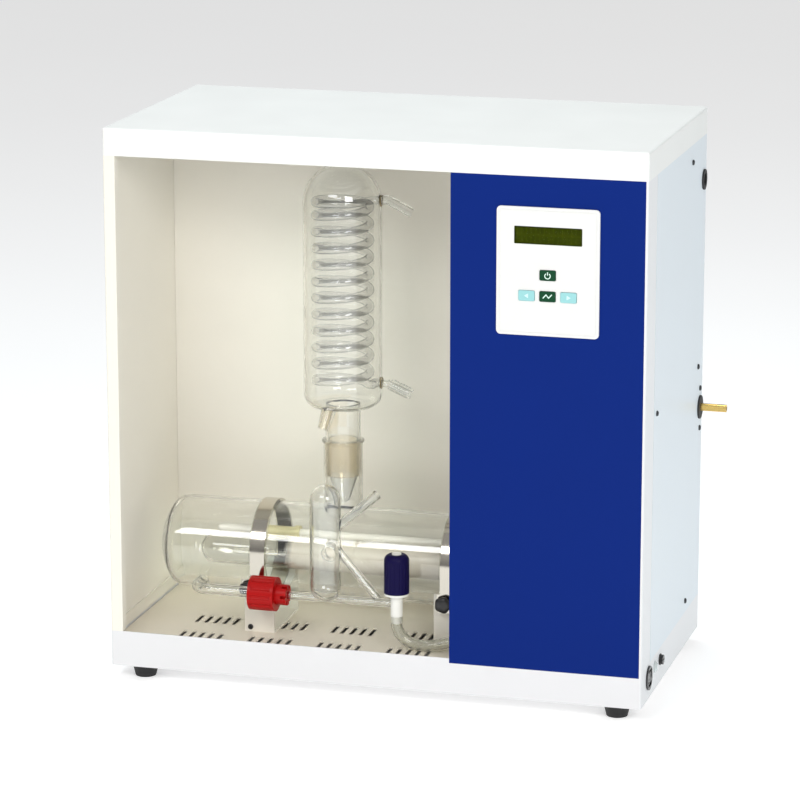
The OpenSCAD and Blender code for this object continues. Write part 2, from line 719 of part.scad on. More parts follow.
// Coil that opens the solenoid valve
module valve_coil() color("#1d1f24") place() difference() {
    block([case_w - 39, nozzle_y - 11.5, nozzle_z + 13], [case_w - 11, nozzle_y + 11.5, nozzle_z + 42]);
    rod_z([case_w - 25, nozzle_y, nozzle_z + 12], 6.1, 32);
}

// Grommet for the cooling water outlet hose
module hose_grommet() color("#17181a") place() difference() {
    union() {
        rod_x([case_w, nozzle_y, grommet_z], grommet_d / 2, 1.6);
        rod_x([case_w - 3, nozzle_y, grommet_z], grommet_d / 2 - 2.1, 3.1);
        rod_x([case_w - 3, nozzle_y, grommet_z], grommet_d / 2 - 0.5, 1.6);
    }
    rod_x([case_w - 5, nozzle_y, grommet_z], grommet_bore / 2, 8);
}

// ---------- Boiler ----------

// Solid of the boiler body, or of its hollow when inset is the wall thickness
module boiler_solid(inset) {
    r = boiler_r - inset;
    cap_r = (boiler_r * boiler_r + dome_len * dome_len) / (2 * dome_len);
    translate([boiler_side, boiler_y, boiler_z]) rotate([0, 90, 0]) rotate_extrude() {
        intersection() {
            translate([0, cap_r]) circle(cap_r - inset);
            square([r, dome_len + 3]);
        }
        translate([0, dome_len + 2]) square([r, boiler_len - 2 + (inset > 0 ? 1 : 0)]);
    }
}

// Glass boiler: domed cylinder, riser and the socket of the ground joint
module boiler() color("#e8eeee", 0.4) place() difference() {
    union() {
        boiler_solid(0);
        rod_z([riser_x, boiler_y, boiler_z + 10], joint_r0 + 3.4, joint_lift - 10);
        rod_z([riser_x, boiler_y, joint_z - 4], joint_r + 3.2, 4);
    }
    boiler_solid(boiler_wall);
    rod_z([riser_x, boiler_y, boiler_z], joint_r0 - 0.1, joint_lift - joint_len + 0.2);
    translate([riser_x, boiler_y, joint_z0]) cylinder(r1 = joint_r0, r2 = joint_r, h = joint_len);
    translate([riser_x, boiler_y, joint_z]) cylinder(r = joint_r, h = 1);
    rod_y([drain_x, line_y, line_z], drain_d / 2 - 1.6, boiler_y - line_y);
    rod_y([vessel_x, line_y, port_z], 6.5, boiler_y - line_y);
}

heater_z = boiler_z - 5.5;
heater_x0 = boiler_x0 + 30;
rod_y0 = boiler_y + 18.5;
rod_z0 = boiler_z + 9.5;
plug_len = 20;
flange_t = 6;

// Stopper and flange that close the boiler and carry the heater and the sensor
module heater_plug() color("#d9d2c0") place() difference() {
    union() {
        rod_x([boiler_x1 - plug_len, boiler_y, boiler_z], boiler_r - boiler_wall - 0.1, plug_len);
        rod_x([boiler_x1, boiler_y, boiler_z], boiler_r + 4, flange_t);
    }
    rod_x([boiler_x1 - plug_len - 1, boiler_y, heater_z], heater_d / 2 + 0.1, plug_len + flange_t + 2);
    rod_x([boiler_x1 - plug_len - 1, rod_y0, rod_z0], rod_d / 2 + 0.1, plug_len + flange_t + 2);
}

// Milky quartz tube of the heater, closed at its inner end, with its terminal cap
module heater_tube() color("#f4f1ea") place() {
    difference() {
        union() {
            rod_x([heater_x0, boiler_y, heater_z], heater_d / 2, boiler_x1 + 14 - heater_x0);
            translate([heater_x0, boiler_y, heater_z]) sphere(d = heater_d);
        }
        rod_x([heater_x0, boiler_y, heater_z], heater_d / 2 - 2, boiler_x1 + 20 - heater_x0);
        translate([heater_x0, boiler_y, heater_z]) sphere(r = heater_d / 2 - 2);
    }
    rod_x([boiler_x1 + 14, boiler_y, heater_z], heater_d / 2 - 1, 8);
    for (y = [-6, 6]) rod_x([boiler_x1 + 22, boiler_y + y, heater_z], 2, 9);
}

// Level and temperature sensor rod
module sensor_rod() color("#e4e2da") place() {
    rod_x([heater_x0, rod_y0, rod_z0], rod_d / 2, boiler_x1 + 18 - heater_x0);
    translate([heater_x0, rod_y0, rod_z0]) sphere(d = rod_d);
}

// Sleeve and sealing ring pushed on the sensor rod
module sensor_sleeve() color("#d9cfa0") place() difference() {
    union() {
        rod_x([heater_x0 + 48, rod_y0, rod_z0], rod_d / 2 + 1.6, 27);
        rod_x([heater_x0 + 75, rod_y0, rod_z0], rod_d / 2 + 3, 5);
    }
    rod_x([heater_x0 + 46, rod_y0, rod_z0], rod_d / 2, 40);
}

// ---------- Condenser ----------

// Slanted side tubes: start point on the axis, bend point and end point
upper_nipple = [[riser_x + 20, boiler_y, jacket_z1 + 4], [riser_x + jacket_r + 8, boiler_y, jacket_z1 + 4],
                [riser_x + jacket_r + nipple_out, boiler_y, jacket_z1 - 7]];
lower_nipple = [[riser_x + 28, boiler_y, jacket_z + 24], [riser_x + jacket_r + 8, boiler_y, jacket_z + 24],
                [riser_x + jacket_r + nipple_out, boiler_y, jacket_z + 15]];
outlet_tip = [[riser_x - 5, boiler_y - 22, jacket_z + 9], [riser_x - 10, boiler_y - 34, jacket_z - 16]];

// Tube with a bend, its second leg a little thicker and started before the bend
module bent_rod(p, r) {
    back = (p[1] - p[2]) / norm(p[1] - p[2]);
    rod_between(p[0], p[1] + [0.5, 0, 0], r);
    rod_between(p[1] + back * 1.5, p[2], r + 0.15);
}

// Solid of the jacket, or of its hollow when inset is the wall thickness
module jacket_solid(inset) {
    r = jacket_r - inset;
    c = shoulder_r - inset;
    translate([riser_x, boiler_y, 0]) rotate_extrude() {
        translate([0, jacket_z + inset]) square([r - c, shoulder_r + 1]);
        translate([r - c, jacket_z + shoulder_r]) circle(c);
        translate([0, jacket_z + shoulder_r]) square([r, jacket_z1 - jacket_z - shoulder_r]);
        intersection() {
            translate([0, jacket_z1]) circle(r);
            translate([0, jacket_z1 - 1]) square([r + 1, r + 2]);
        }
    }
}

// Glass condenser: jacket, neck, ground cone with a drip tip, two hose nipples and the
// distillate outlet
module condenser() color("#e8eeee", 0.4) place() difference() {
    union() {
        jacket_solid(0);
        rod_z([riser_x, boiler_y, joint_z - 0.5], neck_r, neck_len + 4.5);
        translate([riser_x, boiler_y, joint_z0]) cylinder(r1 = joint_r0 - 0.1, r2 = joint_r - 0.1, h = joint_len);
        translate([riser_x, boiler_y, joint_z0 - 32]) cylinder(r1 = 4, r2 = joint_r0 - 1.5, h = 32.1);
        bent_rod(upper_nipple, 4.85);
        bent_rod(lower_nipple, 3.6);
        rod_between(lower_nipple[1] + (lower_nipple[2] - lower_nipple[1]) * 0.05, lower_nipple[2], 5.2);
        tapered_rod(outlet_tip[0], outlet_tip[1], 8.3, 5.2);
    }
    jacket_solid(jacket_wall);
    rod_z([riser_x, boiler_y, joint_z], neck_r - 2, neck_len + 6);
    translate([riser_x, boiler_y, joint_z0 - 0.1]) cylinder(r = joint_r0 - 2.3, h = joint_len + 0.2);
    translate([riser_x, boiler_y, joint_z0 - 33]) cylinder(r1 = 2.6, r2 = joint_r0 - 3.2, h = 33);
    translate([riser_x, boiler_y, joint_z0 - 29]) rotate([0, -35, 0]) translate([-30, -30, -40])
        cube([60, 60, 40]);
    bent_rod([upper_nipple[0], upper_nipple[1], extend(upper_nipple)], 3);
    bent_rod([lower_nipple[0], lower_nipple[1], extend(lower_nipple)], 2.2);
    rod_between(outlet_tip[0], outlet_tip[1] + (outlet_tip[1] - outlet_tip[0]) * 0.1, 3.6);
}

// A point 2 mm past the end of a tube, so that its bore comes out
function extend(p) = p[2] + (p[2] - p[1]) * 2 / norm(p[2] - p[1]);

// Tapered rod from point a to point b
module tapered_rod(a, b, r1, r2) {
    d = b - a;
    translate(a) rotate([0, acos(d.z / norm(d)), atan2(d.y, d.x)]) cylinder(r1 = r1, r2 = r2, h = norm(d));
}

// Triangle mesh of a tube along a path, with round ends left flat
module sweep(path, r, sides) {
    n = len(path);
    rings = [for (i = [0:n - 1]) let (
        t = path[min(i + 1, n - 1)] - path[max(i - 1, 0)],
        w = t / norm(t),
        s = abs(w.z) > 0.8 ? [1, 0, 0] : [0, 0, 1],
        u = cross(s, w) / norm(cross(s, w)),
        v = cross(w, u)
    ) for (k = [0:sides - 1]) path[i] + r * (cos(360 * k / sides) * u + sin(360 * k / sides) * v)];
    polyhedron(rings, concat(
        [[for (k = [sides - 1:-1:0]) k]],
        [for (i = [0:n - 2], k = [0:sides - 1]) let (a = i * sides + k, b = i * sides + (k + 1) % sides)
            [a, b, b + sides, a + sides]],
        [[for (k = [0:sides - 1]) (n - 1) * sides + k]]), convexity = 10);
}

// Helix of the cooling coil
module condenser_coil() color("#eef2f2", 0.6) place() {
    steps = 16;
    sweep([for (i = [0:coil_turns * steps]) let (a = 360 * i / steps)
        [riser_x + coil_r * cos(a), boiler_y + coil_r * sin(a), coil_z0 + coil_pitch * i / steps]],
        coil_tube / 2, 6);
}

// ---------- Level vessel, drain line and needle valve ----------

arm_end = [vessel_x + 51, line_y, vessel_z + 108.5];
overflow_end = [vessel_x + 51, line_y, line_z + 4];
barrel_x0 = valve_x - barrel_d / 2;

// Solid of the level vessel, or of its hollow when inset is the wall thickness
module vessel_solid(inset) {
    r = vessel_d / 2;
    rod_z([vessel_x, line_y, vessel_z + r], r - inset, vessel_len - 2 * r);
    for (z = [vessel_z + r, vessel_z + vessel_len - r]) translate([vessel_x, line_y, z]) sphere(r = r - inset);
}

// Glass level vessel with its filling arm, overflow leg, link tube and boiler port
module level_vessel() color("#e8eeee", 0.4) place() difference() {
    union() {
        vessel_solid(0);
        rod_between([vessel_x, line_y, vessel_z + 64], arm_end, 4.75);
        rod_between([vessel_x, line_y, vessel_z + 66], overflow_end, 4);
        rod_x([thread_x1 - 8, line_y, line_z], link_d / 2, barrel_x0 - thread_x1 + 8);
        rod_y([vessel_x, line_y, port_z], 8.5, boiler_y - line_y);
    }
    vessel_solid(1.8);
    rod_between([vessel_x, line_y, vessel_z + 64], arm_end + (arm_end - [vessel_x, line_y, vessel_z + 64]) * 0.05, 3.25);
    rod_between([vessel_x, line_y, vessel_z + 66], overflow_end, 2.7);
    rod_x([thread_x1 - 9, line_y, line_z], link_d / 2 - 1.3, barrel_x0 - thread_x1 + 12);
    rod_y([vessel_x, line_y, port_z], 6.5, boiler_y - line_y);
    rod_x([boiler_x0, boiler_y, boiler_z], boiler_r + 0.02, boiler_len);
    rod_z([valve_x, line_y, line_z - 20], barrel_d / 2, 40);
}

// Glass drain tube from the boiler to the screw thread of the coupling
module drain_tube() color("#e8eeee", 0.4) place() {
    r = drain_d / 2;
    bend = 14;
    difference() {
        union() {
            rod_y([drain_x, line_y + bend, line_z], r, boiler_y - line_y - bend);
            translate([drain_x + bend, line_y + bend, line_z]) elbow(bend, r);
            rod_x([drain_x + bend, line_y, line_z], r, thread_x1 - drain_x - bend);
            rod_x([nut_x + 2, line_y, line_z], thread_r, thread_x1 - nut_x - 2);
        }
        rod_x([boiler_x0 - 5, boiler_y, boiler_z], boiler_r + 0.02, boiler_len);
        rod_y([drain_x, line_y + bend, line_z], r - 1.6, boiler_y - line_y);
        translate([drain_x + bend, line_y + bend, line_z]) elbow(bend, r - 1.6);
        rod_x([drain_x + bend, line_y, line_z], r - 1.6, thread_x1 - drain_x - bend + 1);
        rod_x([thread_x1 - 9, line_y, line_z], link_d / 2 + loose, 20);
    }
}

// Quarter of a ring, from the direction of -X to the direction of -Y
module elbow(bend, r) {
    intersection() {
        rotate_extrude() translate([bend, 0]) circle(r);
        translate([-bend - r - 1, -bend - r - 1, -r - 1]) cube([bend + r + 1, bend + r + 1, 2 * r + 2]);
    }
}

// Two-step coupling nut with grip flats and a notched end
module coupling_nut() color("#c01414") place() difference() {
    union() {
        rod_x([nut_x, line_y, line_z], nut_d / 2, nut_len);
        rod_x([nut_x + nut_len - 0.1, line_y, line_z], nut_tip_d / 2, nut_tip_len + 0.1);
    }
    rod_x([nut_x - 1, line_y, line_z], thread_r + loose, nut_wall_x - nut_x + 1);
    rod_x([nut_x, line_y, line_z], link_d / 2 + loose, nut_len + nut_tip_len + 1);
    for (a = [0:30:330]) translate([nut_x, line_y, line_z]) rotate([a, 0, 0])
        translate([3, nut_d / 2 + 1.3, 0]) rotate([0, 90, 0]) cylinder(r = 2.4, h = nut_len - 6);
    for (a = [0:60:300]) translate([nut_x + nut_len + nut_tip_len - 5, line_y, line_z]) rotate([a, 0, 0])
        translate([0, link_d / 2 + 2, -1.5]) cube([6, nut_tip_d, 3]);
}

// Sealing ring between the thread and the nut
module coupling_seal() color("#e7e3da") place() difference() {
    rod_x([thread_x1 + 0.1, line_y, line_z], thread_r, seal_t);
    rod_x([thread_x1 - 1, line_y, line_z], link_d / 2 + running, seal_t + 3);
}

// Glass barrel of the needle valve, with its hose outlet
module valve_barrel() color("#eef0ee", 0.5) place() difference() {
    union() {
        rod_z([valve_x, line_y, barrel_z0], barrel_d / 2, valve_z - 3 - barrel_z0);
        rod_z([valve_x, line_y, outlet_z0], outlet_d / 2, barrel_z0 - outlet_z0 + 0.1);
    }
    rod_z([valve_x, line_y, barrel_z0 + 5], barrel_d / 2 - 1.2, 30);
    rod_z([valve_x, line_y, outlet_z0 - 1], outlet_d / 2 - 1.4, 20);
    rod_x([barrel_x0 - 2, line_y, line_z], link_d / 2 - 1.3, barrel_d / 2);
}

// Fluoroplastic spindle with its needle, collar and end
module valve_spindle() color("#f3f2ee") place() {
    rod_z([valve_x, line_y, line_z + 4.5], barrel_d / 2 - 1.2 - running, valve_z - line_z - 4);
    translate([valve_x, line_y, barrel_z0 + 7]) cylinder(r1 = 1.6, r2 = 3, h = line_z - barrel_z0 - 2.4);
    rod_z([valve_x, line_y, valve_z - 2], valve_knob_d / 2 - 0.3, 2);
    rod_z([valve_x, line_y, valve_z - 0.1], 4.6, valve_knob_h + 0.9);
}

// Knob of the needle valve: fluted drum with round shoulders
module valve_knob() color("#1a0c50") place() translate([valve_x, line_y, valve_z + 0.1]) difference() {
    r = valve_knob_d / 2;
    c = r - 6;
    union() {
        cylinder(r = r, h = valve_knob_h - 6);
        translate([0, 0, valve_knob_h - 6]) rotate_extrude() intersection() {
            translate([c, 0]) circle(6);
            square([r, 7]);
        }
        translate([0, 0, valve_knob_h - 7]) cylinder(r = c + 0.1, h = 7);
    }
    translate([0, 0, -1]) cylinder(r = 4.6 + running, h = valve_knob_h + 2);
    translate([0, 0, valve_knob_h - 2]) cylinder(r = 5.4, h = 3);
    for (a = [0:20:340]) rotate([0, 0, a]) translate([r + 0.75, 0, 2]) cylinder(r = 1.1, h = valve_knob_h - 9);
}

// Clear drain hose from the valve outlet to the fitting in the partition
module drain_hose() color("#dfe3de", 0.6) place() sweep(hose_path, hose_d / 2, 12);

// Rubber ring that carries the drain hose through the partition
module hose_fitting() color("#1c1d1f") place() difference() {
    union() {
        rod_x([bay_w - 1.5, hose_exit.y, hose_exit.z], hose_d / 2 + 3, 1.5);
        rod_x([bay_w - 0.1, hose_exit.y, hose_exit.z], hose_d / 2 + 1.4, sheet + 0.2);
        rod_x([bay_w + sheet, hose_exit.y, hose_exit.z], hose_d / 2 + 3, 1.5);
    }
    rod_x([bay_w - 3, hose_exit.y, hose_exit.z], hose_d / 2 + 0.15, 8);
}

// ---------- Boiler clamps ----------

// Stands of folded sheet: front and back legs, floor and a saddle under the boiler
module clamp_stands() color("#d8cdb8") place() for (x = clamp_x) difference() {
    y0 = boiler_y - stand_d / 2;
    top = boiler_z - sqrt(clamp_r * clamp_r - stand_d * stand_d / 4);
    union() {
        block([x - stand_w / 2, y0, floor_h], [x + stand_w / 2, y0 + stand_d, top]);
        rod_y([knob_x[x == clamp_x[0] ? 0 : 1], strap_y + strap_t + 0.1, clamp_knob_z], boss_r, y0 - strap_y - 0.5);
    }
    difference() {
        block([x - stand_w, y0 + stand_t, floor_h + stand_t],
              [x + stand_w, y0 + stand_d - stand_t, top + 1]);
        rod_x([x - stand_w - 1, boiler_y, boiler_z], clamp_r + stand_t, 2 * stand_w + 2);
    }
    rod_x([x - stand_w, boiler_y, boiler_z], clamp_r, 2 * stand_w);
    rod_y([knob_x[x == clamp_x[0] ? 0 : 1], strap_y - 2, clamp_knob_z], stud_r + running, 20);
    rod_y([x - 9, y0 - 1, floor_h + 4.5], screw_r + 0.1, 5);
}

// Stainless straps: over the boiler and down in front and behind, with a wider tab
module clamp_straps() color("#b8bcbe") place() for (i = [0, 1]) difference() {
    x = clamp_x[i] - strap_w / 2;
    tab_x = min(x, knob_x[i] - 7);
    z0 = clamp_knob_z - 9;
    union() {
        difference() {
            rod_x([x, boiler_y, boiler_z], clamp_r + strap_t, strap_w);
            rod_x([x - 1, boiler_y, boiler_z], clamp_r, strap_w + 2);
            block([x - 1, 0, floor_h], [x + strap_w + 1, case_d, boiler_z]);
        }
        block([x, strap_y, z0], [x + strap_w, strap_y + strap_t, boiler_z]);
        block([tab_x, strap_y, z0], [x + strap_w, strap_y + strap_t, z0 + 18]);
        block([x, 2 * boiler_y - strap_y - strap_t, floor_h + 20], [x + strap_w, 2 * boiler_y - strap_y, boiler_z]);
    }
    rod_y([knob_x[i], strap_y - 1, clamp_knob_z], stud_r + 0.3, 4);
}

// Soft liner rings between the boiler and its straps and saddles
module clamp_liners() color("#dcd8cc") place() for (x = clamp_x) difference() {
    rod_x([x - strap_w / 2 - 1, boiler_y, boiler_z], clamp_r - running, strap_w + 2);
    rod_x([x - strap_w, boiler_y, boiler_z], boiler_r, 2 * strap_w);
}

// Threaded stud of a clamp knob
module stud(x) {
    rod_y([x, strap_y - 2, clamp_knob_z], stud_r, 11.5);
    rod_y([x, strap_y - 1.1, clamp_knob_z], stud_r + 1.5, 1);
}

// Five-lobed clamp knob
module clamp_knob(x) {
    r = clamp_knob_d / 2;
    translate([x, strap_y - 1.2, clamp_knob_z]) rotate([90, 0, 0]) difference() {
        cylinder(r = r, h = clamp_knob_t);
        for (a = [0:45:315]) rotate([0, 0, a]) translate([r + 1.6, 0, -1]) cylinder(r = 2.6, h = clamp_knob_t + 2);
        translate([0, 0, -1]) cylinder(r = stud_r + running, h = 2);
    }
}

module left_stud() color("#aab0b3") place() stud(left_knob_x);
module left_knob() color("#141416") place() clamp_knob(left_knob_x);
module right_stud() color("#aab0b3") place() stud(right_knob_x);
module right_knob() color("#141416") place() clamp_knob(right_knob_x);

// Screws in the front legs of the clamp stands
module stand_screws() color("#3a3d42") place() for (x = clamp_x)
    translate([x - 9, boiler_y - stand_d / 2, floor_h + 4.5]) rotate([90, 0, 0]) screw(2.6, 1.6, screw_r, 2);

base_frame();
floor_plate();
left_wall();
corner_post();
side_cover();
back_panel();
lid();
bay_back();
partition();
front_panel();
feet();
foot_screws();
case_screws();
control_bezel();
display_window();
display_module();
control_board();
board_posts();
power_key();
left_key();
select_key();
right_key();
switch_body();
switch_rocker();
pilot_lamp();
fuse_holder();
fuse_cap();
cable_gland();
gland_nut();
power_board();
heater_relay();
inlet_nozzle();
nozzle_ring();
inlet_valve();
valve_coil();
hose_grommet();
boiler();
heater_plug();
heater_tube();
sensor_rod();
sensor_sleeve();
condenser();
condenser_coil();
level_vessel();
drain_tube();
coupling_nut();
coupling_seal();
valve_barrel();
valve_spindle();
valve_knob();
drain_hose();
hose_fitting();
clamp_stands();
clamp_straps();
clamp_liners();
left_stud();
left_knob();
right_stud();
right_knob();
stand_screws();
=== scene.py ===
# %% [markdown]
# # A bench-top water still in glass and painted sheet steel
#
# The still is a white steel case. On its left is an open bay with the glassware: a boiler that
# lies in two clamps and a condenser that stands on it. On its right is a blue front with the
# controls. The shape comes from a finished engineering model, which is the fixed frame here, so
# this script never guesses a place. It asks the frame where each part is, gives every part its
# finish, and builds anew the parts whose looks need more than an engineering model holds: the
# drain hose, the boiler, the cooling coil and the clamp knobs. A few small ones are added, such as
# the rings and the thread on the nipples and the symbols on the keys.

# %% Load the frame
import math

import bmesh
import bpy
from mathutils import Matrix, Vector


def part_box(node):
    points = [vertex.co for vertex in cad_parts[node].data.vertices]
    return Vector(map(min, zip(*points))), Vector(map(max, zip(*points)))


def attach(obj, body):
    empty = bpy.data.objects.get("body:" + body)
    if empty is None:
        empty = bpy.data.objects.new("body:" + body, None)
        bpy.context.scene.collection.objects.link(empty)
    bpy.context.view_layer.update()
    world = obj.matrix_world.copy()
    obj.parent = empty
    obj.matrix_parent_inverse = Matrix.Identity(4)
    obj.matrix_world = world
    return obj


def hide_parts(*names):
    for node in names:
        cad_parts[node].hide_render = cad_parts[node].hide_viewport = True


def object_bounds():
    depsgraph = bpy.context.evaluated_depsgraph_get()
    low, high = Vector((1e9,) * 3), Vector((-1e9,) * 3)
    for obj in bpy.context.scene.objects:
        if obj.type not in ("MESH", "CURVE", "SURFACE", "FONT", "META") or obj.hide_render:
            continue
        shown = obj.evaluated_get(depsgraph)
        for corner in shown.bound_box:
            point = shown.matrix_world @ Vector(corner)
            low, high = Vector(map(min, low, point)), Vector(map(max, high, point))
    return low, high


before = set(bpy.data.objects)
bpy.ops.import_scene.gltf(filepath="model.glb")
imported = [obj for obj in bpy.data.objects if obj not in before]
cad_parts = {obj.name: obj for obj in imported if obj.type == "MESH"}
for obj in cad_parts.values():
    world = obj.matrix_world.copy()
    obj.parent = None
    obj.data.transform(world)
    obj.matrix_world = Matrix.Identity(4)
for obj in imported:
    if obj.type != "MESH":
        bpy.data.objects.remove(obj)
cad_low, cad_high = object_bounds()

# %% [markdown]
# Workshop drawings of the still are in millimetres from the lower left front corner of its case,
# so the script uses the same corner and the same unit. The frame is in metres, and two small
# functions go back and forth.

# %% Millimetres from the corner of the case
MM = 0.001
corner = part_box("base_frame")[0]


def at(x, y, z):
    """The point of the frame that is x, y, z millimetres from the corner of the case."""
    return corner + Vector((x, y, z)) * MM


def span(node):
    """The lowest and the highest corner of a node, in millimetres of the case."""
    low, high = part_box(node)
    return (low - corner) / MM, (high - corner) / MM


def middle(node):
    """The centre of a node's box, in millimetres of the case."""
    low, high = span(node)
    return (low + high) / 2


case_size = span("lid")[1]
print("case:", [round(v) for v in case_size], "mm")

# %% [markdown]
# ## Camera
#
# The still is seen from its right and a little from above, from far enough away that its upright
# edges stay upright. A long lens does that. The camera is put on a ball round a point inside
# the case, which needs only two angles and a distance, and then nudged sideways and down.

# %% Camera on a ball round the case
TURN = math.radians(15.48)
RISE = math.radians(13.59)
DISTANCE = 3510
LENS = 167.22
AIM = (260, 62.5, 270)
NUDGE_RIGHT = 10.6
NUDGE_DOWN = 5.3

towards = Vector((
    math.sin(TURN) * math.cos(RISE),
    -math.cos(TURN) * math.cos(RISE),
    math.sin(RISE),
))
sideways = (-towards).cross(Vector((0, 0, 1))).normalized()
upwards = sideways.cross(-towards)

camera_data = bpy.data.cameras.new("camera")
camera_data.lens = LENS
camera_data.clip_end = 60
camera = bpy.data.objects.new("camera", camera_data)
bpy.context.collection.objects.link(camera)
nudge = sideways * NUDGE_RIGHT - upwards * NUDGE_DOWN
camera.location = at(*AIM) + (towards * DISTANCE + nudge) * MM
camera.rotation_mode = "QUATERNION"
camera.rotation_quaternion = (-towards).to_track_quat("-Z", "Y")
bpy.context.scene.camera = camera
print("camera:", [round(v, 3) for v in camera.location])

# %% [markdown]
# ## Shader maths as Python
#
# A finish is a small network of nodes. Written node by node it is long and hard to read, so a
# small class wraps one socket and lets it stand in sums: `1 - mask * 0.3` adds the Math nodes for
# itself. Every other node comes from one method that takes the node's type, its settings and what
# goes into its sockets.

# %% A socket that can be written in sums
class Wire:
    """One output socket of a finish's network."""

    def __init__(self, finish, socket):
        self.finish = finish
        self.socket = socket

    def sum_with(self, operation, first, second):
        """A Math node on two values, each a wire or a number."""
        return self.finish.node("ShaderNodeMath", {"operation": operation}, {0: first, 1: second})

    def __add__(self, other):
        return self.sum_with("ADD", self, other)

    def __radd__(self, other):
        return self.sum_with("ADD", other, self)

    def __sub__(self, other):
        return self.sum_with("SUBTRACT", self, other)

    def __rsub__(self, other):
        return self.sum_with("SUBTRACT", other, self)

    def __mul__(self, other):
        return self.sum_with("MULTIPLY", self, other)

    def __rmul__(self, other):
        return self.sum_with("MULTIPLY", other, self)

    def __gt__(self, other):
        return self.sum_with("GREATER_THAN", self, other)

    def __lt__(self, other):
        return self.sum_with("LESS_THAN", self, other)


# %% A finish and its one general node method
class Finish:
    """A material that is being made."""

    def __init__(self, name):
        self.material = bpy.data.materials.new(name)
        self.material.use_nodes = True
        self.tree = self.material.node_tree
        self.tree.nodes.clear()

    def node(self, kind, settings=None, inputs=None, output=0):
        """Adds a node: its type, its settings, then the values or wires of its sockets."""
        made = self.tree.nodes.new(kind)
        for name, value in (settings or {}).items():
            if name == "stops":
                self.set_stops(made.color_ramp, value)
            else:
                setattr(made, name, value)
        for name, value in (inputs or {}).items():
            if isinstance(value, Wire):
                self.tree.links.new(value.socket, made.inputs[name])
            else:
                made.inputs[name].default_value = value
        return Wire(self, made.outputs[output]) if made.outputs else None

    def set_stops(self, ramp, stops):
        """Sets a colour ramp to a list of (place, value or colour)."""
        while len(ramp.elements) < len(stops):
            ramp.elements.new(0.5)
        for element, (place, value) in zip(ramp.elements, stops):
            element.position = place
            element.color = value if isinstance(value, tuple) else (value, value, value, 1)

    def place(self):
        """Where a point is on its own piece, in metres. It moves with the piece."""
        return self.node("ShaderNodeTexCoord", output="Object")

    def part_of(self, axis):
        """One coordinate of the place, in millimetres of the case."""
        split = self.node("ShaderNodeSeparateXYZ", inputs={0: self.place()}, output=axis)
        return (split - corner["XYZ".index(axis)]) * (1 / MM)

    def noise(self, size, detail=2.0, stretch=(1, 1, 1)):
        """Soft spots of about this size in millimetres, stretched along the axes if asked."""
        moved = self.node(
            "ShaderNodeVectorMath", {"operation": "MULTIPLY"},
            {0: self.place(), 1: tuple(1 / (s * size * MM) for s in stretch)},
        )
        return self.node(
            "ShaderNodeTexNoise", inputs={"Vector": moved, "Scale": 1.0, "Detail": detail},
        )

    def blend(self, factor, first, second):
        """A colour between two colours."""
        return self.node(
            "ShaderNodeMix", {"data_type": "RGBA"},
            {0: factor, 6: first, 7: second}, output=2,
        )

    def relief(self, height, depth, strength):
        """A bump of this depth in millimetres, for the Normal socket."""
        inputs = {"Height": height, "Distance": depth * MM, "Strength": strength}
        return self.node("ShaderNodeBump", inputs=inputs)

    def shader(self, **sockets):
        """The Principled shader. Socket names are written with _ for a space."""
        inputs = {name.replace("_", " "): value for name, value in sockets.items()}
        return self.node("ShaderNodeBsdfPrincipled", inputs=inputs)

    def finish(self, shader):
        """Joins the shader to the output and gives the finished material."""
        self.node("ShaderNodeOutputMaterial", inputs={"Surface": shader})
        print("finish:", self.material.name)
        return self.material


def light_value(share):
    """The standard sRGB curve, from a screen's share of full light to the light itself."""
    return share / 12.92 if share <= 0.04045 else ((share + 0.055) / 1.055) ** 2.4


def colour(red, green, blue):
    """A colour given as on a paint card, 0 to 255, in the light values that shaders use."""
    return tuple(light_value(v / 255) for v in (red, green, blue)) + (1.0,)


def shade(tint, share):
    """The same colour, lighter or darker."""
    return tuple(min(1.0, v * share) for v in tint[:3]) + (1.0,)


print("blue card colour as light:", [round(v, 3) for v in colour(8, 38, 118)])

# %% [markdown]
# ## Finishes
#
# Powder coat is sprayed as dust and baked, so it flows into a very fine orange peel. Its colour
# is even, but rubbed spots are a little shinier. The peel is a noise of two sizes that feeds a
# bump, and a third, slow noise changes the roughness. The left wall is cream inside the bay and
# white outside, so its coat asks on which face a point lies.

# %% Powder coat
SKIN = 0.3


def powder_coat(name, tint, gloss=0.42, specular=0.5, peel=0.03, outside=None):
    """Baked powder paint. outside is the tint of the face that looks out to the left, if any."""
    f = Finish(name)
    peel_height = f.noise(1.4) + f.noise(0.5) * 0.4
    slow = f.noise(60, detail=3)
    base = f.blend(slow, shade(tint, 0.975), shade(tint, 1.02))
    if outside is not None:
        outer_face = f.part_of("X") < span("left_wall")[0].x + SKIN
        base = f.blend(outer_face, base, outside)
    return f.finish(f.shader(
        Base_Color=base,
        Roughness=gloss + (slow - 0.5) * 0.12,
        Specular_IOR_Level=specular,
        Normal=f.relief(peel_height, peel, 0.5),
    ))


WHITE = colour(228, 228, 229)
CREAM = colour(241, 237, 226)
white_coat = powder_coat("white_powder_coat", WHITE)
lid_coat = powder_coat("lid_powder_coat", colour(237, 237, 234))
# The side cover has the same white paint as the case, but here it gets a cooler, slightly darker
# tint: painted cool light, standing in for the bluish light on the case's side.
side_coat_painted_cool_light = powder_coat("side_powder_coat_painted_cool_light", colour(220, 227, 232))
cream_coat = powder_coat("cream_powder_coat", CREAM)
wall_coat = powder_coat("left_wall_coat", CREAM, outside=WHITE)
floor_coat = powder_coat("bay_floor_powder_coat", colour(239, 231, 215))
blue_coat = powder_coat("blue_powder_coat", colour(8, 38, 118), gloss=0.5, specular=0.07)

# %% [markdown]
# Metals need three things: a colour in their reflection, a grain that follows how they were made
# and a few small scratches. Straps are brushed along their length, so their grain is a noise
# stretched round the clamp. Turned brass shows fine rings.

